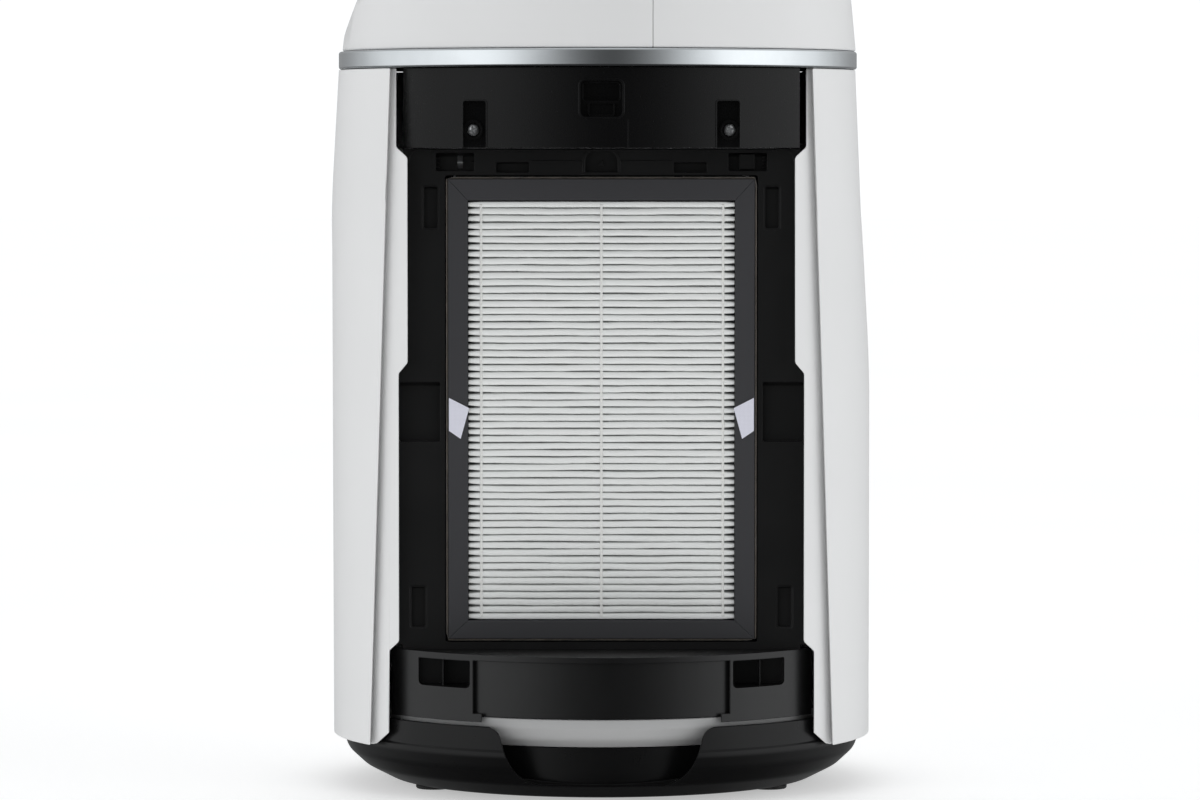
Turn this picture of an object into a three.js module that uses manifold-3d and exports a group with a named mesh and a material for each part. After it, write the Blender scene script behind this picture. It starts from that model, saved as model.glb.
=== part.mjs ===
// Tower air purifier with a round footprint and a pleated filter on each side.
// Millimetres, +Z up, origin on the floor under the middle. The outlet faces -X, the near filter
// bay faces -Y with its side cover taken off, and the far bay faces +Y with its side cover fitted.

import * as THREE from "three";
import { mergeVertices } from "three/addons/utils/BufferGeometryUtils.js";
import Module from "manifold-3d";

const wasm = await Module();
wasm.setup();

// ---------------------------------------------------------------- driving dimensions

const GAP = 0.3; // between pieces that touch
const SEGMENTS = 36; // round a full turn of the large pieces
const FINE_SEGMENTS = 20; // round a full turn of the small pieces
const REACH = 260; // half size of a cutting block, larger than the body

// Outside of the body by height: radius and how far the ring leans towards the outlet.
const BODY = [
  { z: 34, r: 188, x: 0 },
  { z: 266, r: 188, x: 0 },
  { z: 365, r: 186.2, x: -2.3 },
  { z: 407, r: 185, x: -3.6 },
  { z: 450, r: 183, x: -3.4 },
  { z: 497.5, r: 180.7, x: -3 },
];
const COVER_BOTTOM = BODY[0].z;
const COVER_TOP = BODY.at(-1).z;
const COVER_WALL = 3;
const LANDING_DEPTH = 5; // how far the side cover's landing lies under the outside
const LANDING_WALL = 2;

// Outside of the head by height.
const HEAD = [
  { z: 510.5, r: 179.6, x: -1.6 },
  { z: 547, r: 175.6, x: -1 },
  { z: 600, r: 168, x: 0 },
  { z: 650, r: 157.5, x: 2 },
  { z: 700, r: 141, x: 5 },
  { z: 740, r: 119, x: 8 },
  { z: 765, r: 95, x: 11 },
  { z: 777, r: 76, x: 13 },
  { z: 783, r: 62, x: 14 },
  { z: 785, r: 54, x: 14 },
];
const HEAD_BOTTOM = HEAD[0].z;
const HEAD_TOP = HEAD.at(-1).z;
const HEAD_WALL = 2.5;
const HEAD_SEAM_X = 34.5;
const TOP_CENTRE_X = HEAD.at(-1).x;

// The slanted face of the head: it starts at FACE_FOOT and leans back by FACE_LEAN from upright.
const FACE_LEAN = THREE.MathUtils.degToRad(24);
const FACE_FOOT = { x: -178, z: 524 };
const OUTLET_HEIGHT = 650; // height of the outlet's middle on the slanted face

// Filter bay, seen from -Y.
const BAY_FACE = -108; // plane of the bay plate
const BAY_WALL = 2.5;
const BAY_TOP = 442.7;
const DECK_TOP = 58.7; // top of the lower skirt, which carries the bays
const FILTER = { halfWidth: 104.5, low: 108.2, high: 422.2, front: -111, depth: 35 };
const WINDOW = { halfWidth: 91, low: 120.6, high: 407.6 };
const PLEATS = 59;
const FELT = 1.2;
const TUNNEL = { halfWidth: 106.6, floor: 105.8, top: 424.6, back: -57.5 };

const FASCIA_RADIUS = 175; // outside of the sill and of the upper panel
const SILL = { low: 59, high: 101, foot: 55.5, halfWidth: 144, lip: 4, recess: 3.5 };
const UPPER_PANEL = { low: 443.3, high: 497.5, halfWidth: 135, wall: 3 };
const SCREW = { x: 86.5, z: 455.4, seat: -142.2, headRadius: 4, shankRadius: 1.9 };

const FAN = { axisTop: 548, throat: 95, bore: 118, wall: 3, bladeTip: 112, blades: 9 };
const DUCT = { bore: 77, wall: 3, bend: 84, bendStart: 563, straight: 33 };
const LOUVRE = { count: 5, pitch: 38, chord: 22, depth: -15 };
const OUTLET = { halfHeight: 118, halfWidth: 84, wall: 4.4, depth: 36 };

// ---------------------------------------------------------------- solids

// A closed geometry as a solid that can be joined and cut.
function solid(geometry) {
  const bare = geometry.clone();
  bare.deleteAttribute("normal");
  bare.deleteAttribute("uv");
  const merged = mergeVertices(bare, 1e-4);
  const vertProperties = merged.attributes.position.array;
  const triVerts = new Uint32Array(merged.index.array);
  return new wasm.Manifold(new wasm.Mesh({ numProp: 3, vertProperties, triVerts }));
}

// A solid as a geometry for a mesh.
function surface(body) {
  const mesh = body.getMesh();
  const geometry = new THREE.BufferGeometry();
  geometry.setAttribute("position", new THREE.BufferAttribute(mesh.vertProperties, 3));
  geometry.setIndex(new THREE.BufferAttribute(mesh.triVerts, 1));
  geometry.computeVertexNormals();
  return geometry;
}

const join = (first, ...rest) => rest.reduce((sum, next) => sum.add(next), first);
const cut = (first, ...rest) => rest.reduce((left, next) => left.subtract(next), first);
const common = (first, ...rest) => rest.reduce((left, next) => left.intersect(next), first);

function box(x0, x1, y0, y1, z0, z1) {
  const geometry = new THREE.BoxGeometry(x1 - x0, y1 - y0, z1 - z0);
  return solid(geometry.translate((x0 + x1) / 2, (y0 + y1) / 2, (z0 + z1) / 2));
}

// Two boxes, mirror images in the plane X = 0.
function boxPair(x0, x1, y0, y1, z0, z1) {
  return box(x0, x1, y0, y1, z0, z1).add(box(-x1, -x0, y0, y1, z0, z1));
}

// A profile of [radius, height] points turned about the Z axis, then leant by leanAt(height).
function revolve(profile, segments = SEGMENTS, leanAt = null) {
  const area = profile.reduce((sum, [r, z], i) => {
    const [nextR, nextZ] = profile[(i + 1) % profile.length];
    return sum + r * nextZ - nextR * z;
  }, 0);
  const ordered = area > 0 ? [...profile] : [...profile].reverse();
  const onAxis = profile[0][0] === 0;
  const outline = (onAxis ? ordered : [...ordered, ordered[0]]).map(([r, z]) => new THREE.Vector2(r, z));
  const geometry = new THREE.LatheGeometry(outline, segments).rotateX(Math.PI / 2);
  if (leanAt) {
    const place = geometry.attributes.position;
    for (let i = 0; i < place.count; i++) place.setX(i, place.getX(i) + leanAt(place.getZ(i)));
  }
  return solid(geometry);
}

// A flat outline extruded along Z from z0 to z1.
function prism(shape, z0, z1, curveSegments = 8) {
  const options = { depth: z1 - z0, bevelEnabled: false, curveSegments };
  return solid(new THREE.ExtrudeGeometry(shape, options).translate(0, 0, z0));
}

// An outline in the XZ plane extruded along Y from y0 to y1.
function upright(shape, y0, y1, curveSegments = 6) {
  const options = { depth: y1 - y0, bevelEnabled: false, curveSegments };
  const geometry = new THREE.ExtrudeGeometry(shape, options);
  return solid(geometry.rotateX(Math.PI / 2).translate(0, y1, 0));
}

const polygon = (points) => new THREE.Shape(points.map(([x, y]) => new THREE.Vector2(x, y)));

function roundedRectangle(x0, x1, y0, y1, radius) {
  const shape = new THREE.Shape();
  shape.moveTo(x0 + radius, y0);
  shape.lineTo(x1 - radius, y0);
  shape.absarc(x1 - radius, y0 + radius, radius, -Math.PI / 2, 0);
  shape.lineTo(x1, y1 - radius);
  shape.absarc(x1 - radius, y1 - radius, radius, 0, Math.PI / 2);
  shape.lineTo(x0 + radius, y1);
  shape.absarc(x0 + radius, y1 - radius, radius, Math.PI / 2, Math.PI);
  shape.lineTo(x0, y0 + radius);
  shape.absarc(x0 + radius, y0 + radius, radius, Math.PI, 1.5 * Math.PI);
  return shape;
}

function oval(halfX, halfY) {
  return new THREE.Shape().absellipse(0, 0, halfX, halfY, 0, 2 * Math.PI);
}

function cylinder(radius, z0, z1, segments = FINE_SEGMENTS) {
  return revolve([[0, z0], [radius, z0], [radius, z1], [0, z1]], segments);
}

// A tube's or bore's disc with its axis along Y.
function barrelAlongY(radius, x, z, y0, y1, segments = 24) {
  return cylinder(radius, y0, y1, segments).rotate([-90, 0, 0]).translate([x, 0, z]);
}

// ---------------------------------------------------------------- materials and meshes

const FINISH = {
  whiteGloss: { color: 0xe6e7e9, roughness: 0.32, metalness: 0 },
  blackSatin: { color: 0x1b1b1c, roughness: 0.45, metalness: 0 },
  blackGloss: { color: 0x0c0c0e, roughness: 0.15, metalness: 0 },
  chrome: { color: 0xb9c0c4, roughness: 0.12, metalness: 1 },
  zinc: { color: 0xa9adb0, roughness: 0.35, metalness: 1 },
  card: { color: 0x262627, roughness: 0.85, metalness: 0 },
  pleats: { color: 0xeef0ee, roughness: 0.95, metalness: 0 },
  felt: { color: 0x3a332c, roughness: 1, metalness: 0 },
  ribbon: { color: 0xe9e8f4, roughness: 0.9, metalness: 0 },
  carbon: { color: 0x161616, roughness: 1, metalness: 0 },
  greyPlastic: { color: 0x74777a, roughness: 0.6, metalness: 0 },
  motorSteel: { color: 0x8c9093, roughness: 0.4, metalness: 0.9 },
  board: { color: 0x1d5a38, roughness: 0.6, metalness: 0 },
  rubber: { color: 0x151515, roughness: 0.9, metalness: 0 },
};

function piece(name, body, finish) {
  const mesh = new THREE.Mesh(surface(body), new THREE.MeshStandardMaterial(FINISH[finish]));
  mesh.name = name;
  return mesh;
}

function group(...children) {
  const made = new THREE.Group();
  made.add(...children);
  return made;
}

// ---------------------------------------------------------------- body outline

// Value of key at a height, read straight between the stations.
function along(stations, key, z) {
  const next = stations.findIndex((s) => s.z >= z);
  if (next === 0) return stations[0][key];
  if (next < 0) return stations.at(-1)[key];
  const low = stations[next - 1];
  const high = stations[next];
  return low[key] + ((high[key] - low[key]) * (z - low.z)) / (high.z - low.z);
}

const bodyLean = (z) => along(BODY, "x", z);
const headLean = (z) => along(HEAD, "x", z);

// A band of the body's wall between two depths under the outside.
function bodyBand(outerDepth, innerDepth, zLow, zHigh) {
  const heights = [zLow, ...BODY.map((s) => s.z).filter((z) => z > zLow && z < zHigh), zHigh];
  const outside = heights.map((z) => [along(BODY, "r", z) - outerDepth, z]);
  const inside = heights.map((z) => [along(BODY, "r", z) - innerDepth, z]).reverse();
  return revolve([...outside, ...inside], SEGMENTS, bodyLean);
}

// The line where a fixed cover meets a side cover: its distance from the middle plane.
const SEAM_TOP = 143.6;
const SEAM_BOTTOM = 158.6;
const SEAM_SLOPE = (SEAM_BOTTOM - SEAM_TOP) / (COVER_TOP - COVER_BOTTOM);
const seamAt = (z) => SEAM_TOP + SEAM_SLOPE * (COVER_TOP - z);

// Everything on one side of the seam line, moved outwards by shift. side is 1 for +X, -1 for -X.
function beyondSeam(side, shift) {
  const z0 = COVER_BOTTOM - 10;
  const z1 = COVER_TOP + 10;
  const near = [[seamAt(z0) + shift, z0], [REACH, z0], [REACH, z1], [seamAt(z1) + shift, z1]];
  const points = near.map(([x, z]) => [side * x, z]);
  return upright(polygon(side > 0 ? points : points.reverse()), -REACH, REACH);
}

// ---------------------------------------------------------------- base

const BASE = { rimRadius: 179, rimTop: 53, floor: 3, wellRadius: 153, wellTop: 38, footRadius: 12.5 };

// The recess under each side cover that a hand reaches into to pull the cover off.
function fingerNotch() {
  const half = { top: 67, floor: 52 };
  const floorHeight = 12.8;
  const round = 26;
  const shape = new THREE.Shape();
  shape.moveTo(-half.top - 2, BASE.rimTop + 5);
  shape.lineTo(-half.top, BASE.rimTop - 12);
  shape.quadraticCurveTo(-half.floor - 8, floorHeight + 2, -half.floor + round / 2, floorHeight);
  shape.lineTo(half.floor - round / 2, floorHeight);
  shape.quadraticCurveTo(half.floor + 8, floorHeight + 2, half.top, BASE.rimTop - 12);
  shape.lineTo(half.top + 2, BASE.rimTop + 5);
  return upright(shape, -REACH, -BASE.wellRadius - 1.5, 5);
}

function baseTray() {
  const bowl = revolve([
    [0, BASE.floor], [145, BASE.floor], [164, 12.5], [174, 18.5], [180, 26.5], [181, 35],
    [BASE.rimRadius, 36.5], [178.4, BASE.rimTop], [175.4, BASE.rimTop], [175.4, 30], [170, 21.8],
    [161, 15.8], [BASE.wellRadius, 12.6], [BASE.wellRadius, BASE.wellTop], [150, BASE.wellTop],
    [150, 6.5], [0, 6.5],
  ]);
  const ribs = [-1, 1].flatMap((side) =>
    [-1, 1].map((end) => {
      const rib = box(side * 70 - 1.2, side * 70 + 1.2, -176, -134, 10, 44);
      return end > 0 ? rib : rib.rotate([0, 0, 180]);
    }),
  );
  const moat = revolve([[151, 11], [177, 28], [177, 44], [151, 37]]);
  const sideWalls = common(join(...ribs), moat);
  const notch = fingerNotch();
  return cut(join(bowl, sideWalls), notch, notch.rotate([0, 0, 180]));
}

function foot(name, x, y) {
  const radius = BASE.footRadius;
  const outline = [[0, 0], [radius - 1, 0], [radius, 1], [radius, 2.7], [0, 2.7]];
  const pad = revolve(outline, FINE_SEGMENTS);
  const mesh = piece(name, pad, "rubber");
  mesh.position.set(x, y, 0);
  return mesh;
}

function lowerSkirt() {
  return revolve([
    [0, 56], [168, 56], [168, 52.5], [159, 44.6], [151, 41.2], [151, 38.4], [154, 38.4],
    [166, 44.6], [170.5, 52], [170.5, DECK_TOP], [0, DECK_TOP],
  ]);
}

// ---------------------------------------------------------------- filter bay on the near side

// A blind pocket in the bay plate: backing is joined first, then hollow is cut.
function pocket(x0, x1, z0, z1, depth) {
  const wall = 1.8;
  const back = BAY_FACE + depth;
  const backing = box(x0 - wall, x1 + wall, BAY_FACE + 0.5, back + wall, z0 - wall, z1 + wall);
  return { backing, hollow: box(x0, x1, BAY_FACE - 5, back, z0, z1) };
}

function filterBay() {
  const low = DECK_TOP + GAP;
  const plateOutline = polygon([
    [-136, low], [136, low], [136, 104], [141, 104], [141, 290], [135, 300], [135, BAY_TOP],
    [-135, BAY_TOP], [-135, 300], [-141, 290], [-141, 104], [-136, 104],
  ]);
  const plate = upright(plateOutline, BAY_FACE, BAY_FACE + BAY_WALL);
  const { halfWidth, floor, top, back } = TUNNEL;
  const wide = halfWidth + BAY_WALL;
  const outer = box(-wide, wide, BAY_FACE + 1, back, floor - BAY_WALL, top + BAY_WALL);
  const hole = box(-halfWidth, halfWidth, BAY_FACE - 5, back + 5, floor, top);
  const stops = [-54, 54].map((x) => box(x - 2, x + 2, back - 2.5, back, floor - 1, top + 1));
  const rails = [1, 2, 3].map((i) => {
    const z = floor + (i * (top - floor)) / 4;
    return box(-halfWidth - 1, halfWidth + 1, back - 2.5, back, z - 2, z + 2);
  });
  const pockets = [-1, 1].flatMap((side) => {
    const span = (a, b) => (side > 0 ? [a, b] : [-b, -a]);
    return [
      pocket(...span(86.5, 113), 427.6, 440, 9),
      pocket(...span(49, 72), 426.6, 433.5, 7),
      pocket(...span(111.6, 121.2), 388.5, 416.9, 6),
      pocket(...span(120.4, 130), 116, 143.5, 5),
      pocket(...span(110, 138.4), 242.8, 283.5, 7),
    ];
  });
  const every = [...pockets, pocket(-11.2, 11.2, 427.2, 441, 5)];
  const body = join(plate, outer, ...every.map((p) => p.backing));
  return join(cut(body, hole, ...every.map((p) => p.hollow)), ...stops, ...rails);
}

function sill() {
  const { low, high, foot: footLow, halfWidth, lip, recess } = SILL;
  const blockInner = 87;
  const back = BAY_FACE - GAP;
  const tip = 136.3; // the bay plate ends here, and the blocks reach past it
  const within = (radius, z0, z1) => cylinder(radius, z0, z1, SEGMENTS);
  const depthRange = join(box(-tip, tip, -REACH, back, 0, 200), boxPair(tip, halfWidth, -REACH, -96, 0, 200));
  const ledge = common(within(FASCIA_RADIUS, high - lip, high), depthRange);
  const fascia = common(
    cut(within(FASCIA_RADIUS - recess, low, high), within(FASCIA_RADIUS - recess - 2.6, low - 1, high - lip)),
    box(-blockInner - 1, blockInner + 1, -REACH, -140, 0, 200),
  );
  const blocks = boxPair(blockInner, halfWidth, -REACH, 0, 0, 200);
  const blockShape = common(within(FASCIA_RADIUS, low, high), depthRange, blocks);
  const blockFeet = common(
    cut(within(FASCIA_RADIUS, footLow, low + 2), within(171.4, 0, low + GAP)),
    boxPair(81, halfWidth, -REACH, 0, 0, 200),
    depthRange,
  );
  const hollows = boxPair(124, tip - 3, -115, back + 5, low + 2.5, high - lip);
  const mouths = [-1, 1].map((side) => {
    const x = side * 104.5;
    return upright(roundedRectangle(x - 15.5, x + 15.5, 78, 96, 3), -REACH, -124, 3);
  });
  const ribs = boxPair(103.4, 105.6, -139, -123, 77, 97);
  return join(cut(join(ledge, fascia, blockShape, blockFeet), hollows, ...mouths), ribs);
}

function upperPanel() {
  const { low, high, halfWidth, wall } = UPPER_PANEL;
  const inside = cylinder(FASCIA_RADIUS, low, high, SEGMENTS);
  const front = cut(inside, cylinder(FASCIA_RADIUS - wall, low - 1, high + 1, SEGMENTS));
  const skin = common(front, box(-halfWidth, halfWidth, -REACH, -90, low, high));
  const returns = common(inside, boxPair(halfWidth - 2.4, halfWidth, -REACH, -98, low, high));
  const shelf = common(
    cylinder(FASCIA_RADIUS - 1, low, low + 2, SEGMENTS),
    box(-halfWidth, halfWidth, -REACH, -138, 0, 600),
  );
  const liners = common(
    inside,
    join(boxPair(75.7, 95.2, -REACH, -139, low, 477.2), box(-16.4, 16.4, -REACH, -158, 461.8, 490.8)),
  );
  const recesses = boxPair(77.7, 93.2, -REACH, -141, low - 5, 475);
  const socketHigh = upright(roundedRectangle(-14.4, 14.4, 464, 488.6, 4), -REACH, -166, 4);
  const socketDeep = box(-12.4, 12.4, -170, -160, 475, 487);
  const onScrews = (radius, y0, y1, segments) =>
    [-1, 1].map((side) => barrelAlongY(radius, side * SCREW.x, SCREW.z, y0, y1, segments));
  const bosses = onScrews(6.4, SCREW.seat, -139, 16);
  const holes = onScrews(SCREW.shankRadius + GAP, -160, -130, 10);
  const solidPart = cut(join(skin, returns, shelf, liners), recesses, socketHigh, socketDeep);
  return cut(join(solidPart, ...bosses), ...holes);
}

function panelScrew(name, side) {
  const { headRadius, shankRadius } = SCREW;
  const body = revolve([
    [0, -10], [shankRadius, -9], [shankRadius, GAP], [headRadius, GAP], [headRadius, 1.5],
    [headRadius - 0.8, 2.3], [0, 2.5],
  ], 10);
  const slot = join(box(-2.2, 2.2, -0.4, 0.4, 1.3, 4), box(-0.4, 0.4, -2.2, 2.2, 1.3, 4));
  const mesh = piece(name, cut(body, slot), "zinc");
  mesh.rotation.x = Math.PI / 2;
  mesh.position.set(side * SCREW.x, SCREW.seat, SCREW.z);
  return mesh;
}

// ---------------------------------------------------------------- filters

function filterFrame() {
  const { halfWidth, low, high, front, depth } = FILTER;
  const card = box(-halfWidth, halfWidth, front, front + depth, low, high);
  return cut(card, box(-WINDOW.halfWidth, WINDOW.halfWidth, front - 5, 0, WINDOW.low, WINDOW.high));
}

// Folded paper: a zigzag in the YZ plane run across the window.
function pleatedMedium() {
  const folds = { front: FILTER.front + 2, back: FILTER.front + 25, paper: 8 };
  const low = WINDOW.low + GAP;
  const pitch = (WINDOW.high - WINDOW.low - 2 * GAP) / PLEATS;
  const face = [];
  for (let i = 0; i < PLEATS; i++) {
    face.push([folds.back, low + i * pitch], [folds.front, low + (i + 0.5) * pitch]);
  }
  face.push([folds.back, low + PLEATS * pitch]);
  const rear = face.map(([y, z]) => [y + folds.paper, z]).reverse();
  const width = 2 * (WINDOW.halfWidth - GAP);
  const shape = polygon([...face, ...rear]);
  const geometry = new THREE.ExtrudeGeometry(shape, { depth: width, bevelEnabled: false });
  // The outline's axes become Y and Z, and the extrusion runs along X.
  const turned = new THREE.Matrix4().makeBasis(
    new THREE.Vector3(0, 1, 0), new THREE.Vector3(0, 0, 1), new THREE.Vector3(1, 0, 0),
  );
  return solid(geometry.applyMatrix4(turned).translate(-width / 2, 0, 0));
}

function feltSeal() {
  const { halfWidth, low, high, front } = FILTER;
  const inner = GAP;
  const outer = GAP + FELT;
  const strip = (grow, y0, y1) =>
    box(-halfWidth - grow, halfWidth + grow, y0, y1, low - grow, high + grow);
  return cut(strip(outer, front + 1, front + 15), strip(inner, front - 5, front + 20));
}

function carbonFilter() {
  const { halfWidth, low, high, front, depth } = FILTER;
  return box(-halfWidth, halfWidth, front + depth + GAP, TUNNEL.back - 2.5 - GAP, low, high);
}

// A ribbon tab that lies over the frame's edge and ends on the pleats.
function pullTab(side) {
  const corners = [[104, 273], [90.2, 266], [96, 245], [104, 250.5]];
  const points = corners.map(([x, z]) => [side * x, z]);
  const front = FILTER.front - GAP;
  return upright(polygon(side > 0 ? points : points.reverse()), front - 0.8, front);
}

// ---------------------------------------------------------------- covers

// A fixed cover round the front or the rear, with a landing for each side cover's edge.
function fixedCover(side) {
  const outside = common(bodyBand(0, COVER_WALL, COVER_BOTTOM, COVER_TOP), beyondSeam(side, 0));
  const deep = LANDING_DEPTH + LANDING_WALL;
  const nearSeam = cut(beyondSeam(side, 0), beyondSeam(side, 2.6));
  const step = common(bodyBand(0, deep, COVER_BOTTOM, COVER_TOP), nearSeam);
  const inner = [
    [170, COVER_BOTTOM - 5], [154, COVER_BOTTOM + 1], [148, COVER_BOTTOM + 7], [145, COVER_BOTTOM + 10],
    [145, 100], [138, 107], [138, 291], [131.6, 297], [131.6, 437], [139.6, 443], [139.6, COVER_TOP + 5],
    [170, COVER_TOP + 5],
  ].map(([x, z]) => [side * x, z]);
  const area = upright(polygon(side > 0 ? inner.reverse() : inner), -REACH, REACH);
  const band = bodyBand(LANDING_DEPTH, deep, COVER_BOTTOM, COVER_TOP);
  const landing = common(cut(band, beyondSeam(side, 2.6)), area);
  return join(outside, step, landing);
}

const INLET = { halfWidth: 14.5, low: 62, high: 84 };

function rearCover() {
  const { halfWidth, low, high } = INLET;
  return cut(fixedCover(1), box(150, REACH, -halfWidth, halfWidth, low, high));
}

// The removable cover over the far bay, with rows of intake slots and two hooks for the sill.
function sideCover() {
  const wall = bodyBand(0, COVER_WALL, COVER_BOTTOM + 2.5, COVER_TOP);
  const inFront = box(-REACH, REACH, 0, REACH, 0, 600);
  const between = cut(common(wall, inFront), beyondSeam(1, -0.8), beyondSeam(-1, -0.8));
  const rows = 9;
  const pitch = 35;
  const slots = [];
  for (let i = 0; i < rows; i++) {
    const z = 112 + i * pitch;
    slots.push(boxPair(66, 122, 60, REACH, z, z + 12));
  }
  const inside = cylinder(186.5, 70, 100, SEGMENTS);
  const hooks = common(inside, boxPair(92, 101, 134, 200, 81, 91));
  return join(cut(between, ...slots), hooks);
}

// ---------------------------------------------------------------- fan

function fanDeck() {
  const disc = common(cylinder(162, 443.2, 446.2, SEGMENTS), box(-REACH, REACH, -130, 130, 400, 500));
  const posts = [-1, 1].map((y) => boxPair(99, 111, y * 105 - 6, y * 105 + 6, 445, 497.7));
  return join(cut(disc, cylinder(98, 440, 450, SEGMENTS)), ...posts);
}

function headCarrier() {
  return revolve([[140, 498], [172.5, 498], [172.5, 509.9], [168.5, 509.9], [168.5, 501], [140, 501]]);
}

function trimRing() {
  const lean = () => -2.5;
  return revolve([
    [175.6, 498], [180, 498], [181.2, 499.4], [181.2, 508.8], [180, 510.2], [175.6, 510.2],
  ], SEGMENTS, lean);
}

function fanHousing() {
  const { axisTop, throat, bore, wall } = FAN;
  return revolve([
    [throat, 446.5], [132, 446.5], [132, 449.5], [bore + wall, 449.5], [bore + wall, axisTop],
    [bore, axisTop], [bore, 449.5], [throat, 449.5],
  ]);
}

function impeller() {
  const hub = revolve([
    [0, 459], [24, 461], [40, 470], [50, 500], [45.5, 500], [36, 473], [22, 464.5], [0, 462.5],
  ]);
  const outline = polygon([[41, -18], [FAN.bladeTip, -23], [FAN.bladeTip, 23], [41, 18]]);
  const blades = [];
  for (let i = 0; i < FAN.blades; i++) {
    const blade = prism(outline, -1.2, 1.2).rotate([40, 0, 0]).translate([0, 0, 481]);
    blades.push(blade.rotate([0, 0, (i * 360) / FAN.blades]));
  }
  return join(hub, ...blades);
}

const motorShaft = () => cylinder(4, 463.4, 503.2, 16);

function fanMotor() {
  return revolve([[0, 503.5], [34, 503.5], [38, 507], [38, 533.5], [0, 533.5]], FINE_SEGMENTS);
}

function motorMount() {
  const cupOutline = [[0, 533.8], [38.4, 533.8], [38.4, 515], [42, 515], [42, 537.5], [0, 537.5]];
  const cup = revolve(cupOutline, FINE_SEGMENTS);
  const ring = revolve([[114.6, 516], [117.4, 516], [117.4, 538], [114.6, 538]]);
  const vanes = [];
  const count = 5;
  for (let i = 0; i < count; i++) {
    vanes.push(box(40.5, 116, -1.3, 1.3, 518, 536).rotate([0, 0, (i * 360) / count]));
  }
  return join(cup, ring, ...vanes);
}

// ---------------------------------------------------------------- outlet

const outletMiddle = new THREE.Vector3(
  FACE_FOOT.x + (OUTLET_HEIGHT - FACE_FOOT.z) * Math.tan(FACE_LEAN), 0, OUTLET_HEIGHT,
);
const outletTurn = FACE_LEAN - Math.PI / 2; // about Y: local +Z points out of the face
const outward = new THREE.Vector3(-Math.cos(FACE_LEAN), 0, Math.sin(FACE_LEAN));

// The middle line of the duct: it rises from the fan, bends towards the outlet and runs on straight.
function ductLine(extra) {
  const { bend, bendStart, straight } = DUCT;
  const turn = Math.PI / 2 - FACE_LEAN;
  const onBend = (angle) =>
    new THREE.Vector3(-bend + bend * Math.cos(angle), 0, bendStart + bend * Math.sin(angle));
  const steps = 9;
  const points = [];
  for (let i = 0; i <= steps; i++) points.push(onBend((i * turn) / steps));
  const start = points[0].clone().add(new THREE.Vector3(0, 0, -extra - 6));
  const end = points.at(-1).clone().addScaledVector(outward, straight + extra);
  return new THREE.CatmullRomCurve3([start, ...points, end], false, "centripetal");
}

function ductSolid(radius, extra) {
  const section = new THREE.Shape().absarc(0, 0, radius, 0, 2 * Math.PI);
  const options = { steps: 7, curveSegments: 8, extrudePath: ductLine(extra) };
  return solid(new THREE.ExtrudeGeometry(section, options));
}

function outletDuct() {
  const { bore, wall } = DUCT;
  const collarLow = FAN.axisTop + 0.5;
  const wide = FAN.bore;
  const coneOutside = revolve([[0, collarLow], [wide + wall, collarLow], [bore + wall, 576], [0, 576]]);
  const coneInside = revolve([[0, collarLow - 1], [wide + 0.6, collarLow - 1], [bore, 576.2], [0, 576.2]]);
  return cut(join(coneOutside, ductSolid(bore + wall, 0)), coneInside, ductSolid(bore, 3));
}

function outletBezel() {
  const { halfHeight, halfWidth, wall, depth } = OUTLET;
  const clear = 0.6;
  const outer = prism(oval(halfHeight - clear, halfWidth - clear), -depth, 0.8, 18);
  const hollow = prism(oval(halfHeight - wall, halfWidth - wall), -depth + 2.4, 5, 18);
  const ductHole = cylinder(DUCT.bore, -depth - 5, 0, FINE_SEGMENTS).translate([20, 0, 0]);
  return cut(outer, hollow, ductHole);
}

function outletGrille() {
  const { halfHeight, halfWidth, wall } = OUTLET;
  const clear = wall + 1;
  const z0 = -31;
  const z1 = -28.5;
  const field = prism(oval(halfHeight - clear, halfWidth - clear), z0, z1, 14);
  const hollow = prism(oval(halfHeight - clear - 4, halfWidth - clear - 4), z0 - 1, z1 + 1, 14);
  const bars = [];
  const pitch = 22;
  for (let i = -4; i <= 4; i++) bars.push(box(i * pitch - 1.1, i * pitch + 1.1, -REACH, REACH, z0, z1));
  const spine = box(-REACH, REACH, -1.5, 1.5, z0, z1);
  return join(cut(field, hollow), common(join(...bars, spine), field));
}

// A blade that turns about its own Y axis, between two pivots in the bezel's wall.
function louvreBlade(x) {
  const { halfHeight, halfWidth, wall } = OUTLET;
  const reach = Math.abs(x) + 6;
  const inner = halfHeight - wall;
  const half = (halfWidth - wall) * Math.sqrt(1 - (reach / inner) ** 2) - 2.5;
  const section = new THREE.Shape().absellipse(0, 0, 1.7, LOUVRE.chord / 2, 0, 2 * Math.PI);
  const options = { depth: 2 * half, bevelEnabled: false, curveSegments: 8 };
  const blade = solid(new THREE.ExtrudeGeometry(section, options).translate(0, 0, -half));
  const pin = cylinder(1.4, -half - 1.8, half + 1.8, 12);
  return join(blade, pin).rotate([90, 0, 0]);
}

// ---------------------------------------------------------------- head

// The head as a solid, inset from its outside and drawn through every step-th station.
function headCore(inset, floor, step) {
  const stations = HEAD.filter((_, i) => i % step === 0 || i === HEAD.length - 1);
  const wall = stations.map(({ z, r }) => [r - inset, z === HEAD_BOTTOM ? floor : z - inset]);
  return revolve([[0, floor], ...wall, [0, HEAD_TOP - inset]], SEGMENTS, headLean);
}

// Everything in front of the slanted face, moved outwards by shift.
function beyondFace(shift) {
  const slab = box(-REACH, REACH, -REACH, REACH, shift, REACH);
  const turned = slab.rotate([0, THREE.MathUtils.radToDeg(outletTurn), 0]);
  return turned.translate(outletMiddle.toArray());
}

function inOutletFrame(body) {
  return body.rotate([0, THREE.MathUtils.radToDeg(outletTurn), 0]).translate(outletMiddle.toArray());
}

const CONTROL = { radius: 42, flange: 46, low: 778.4 };

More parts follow.
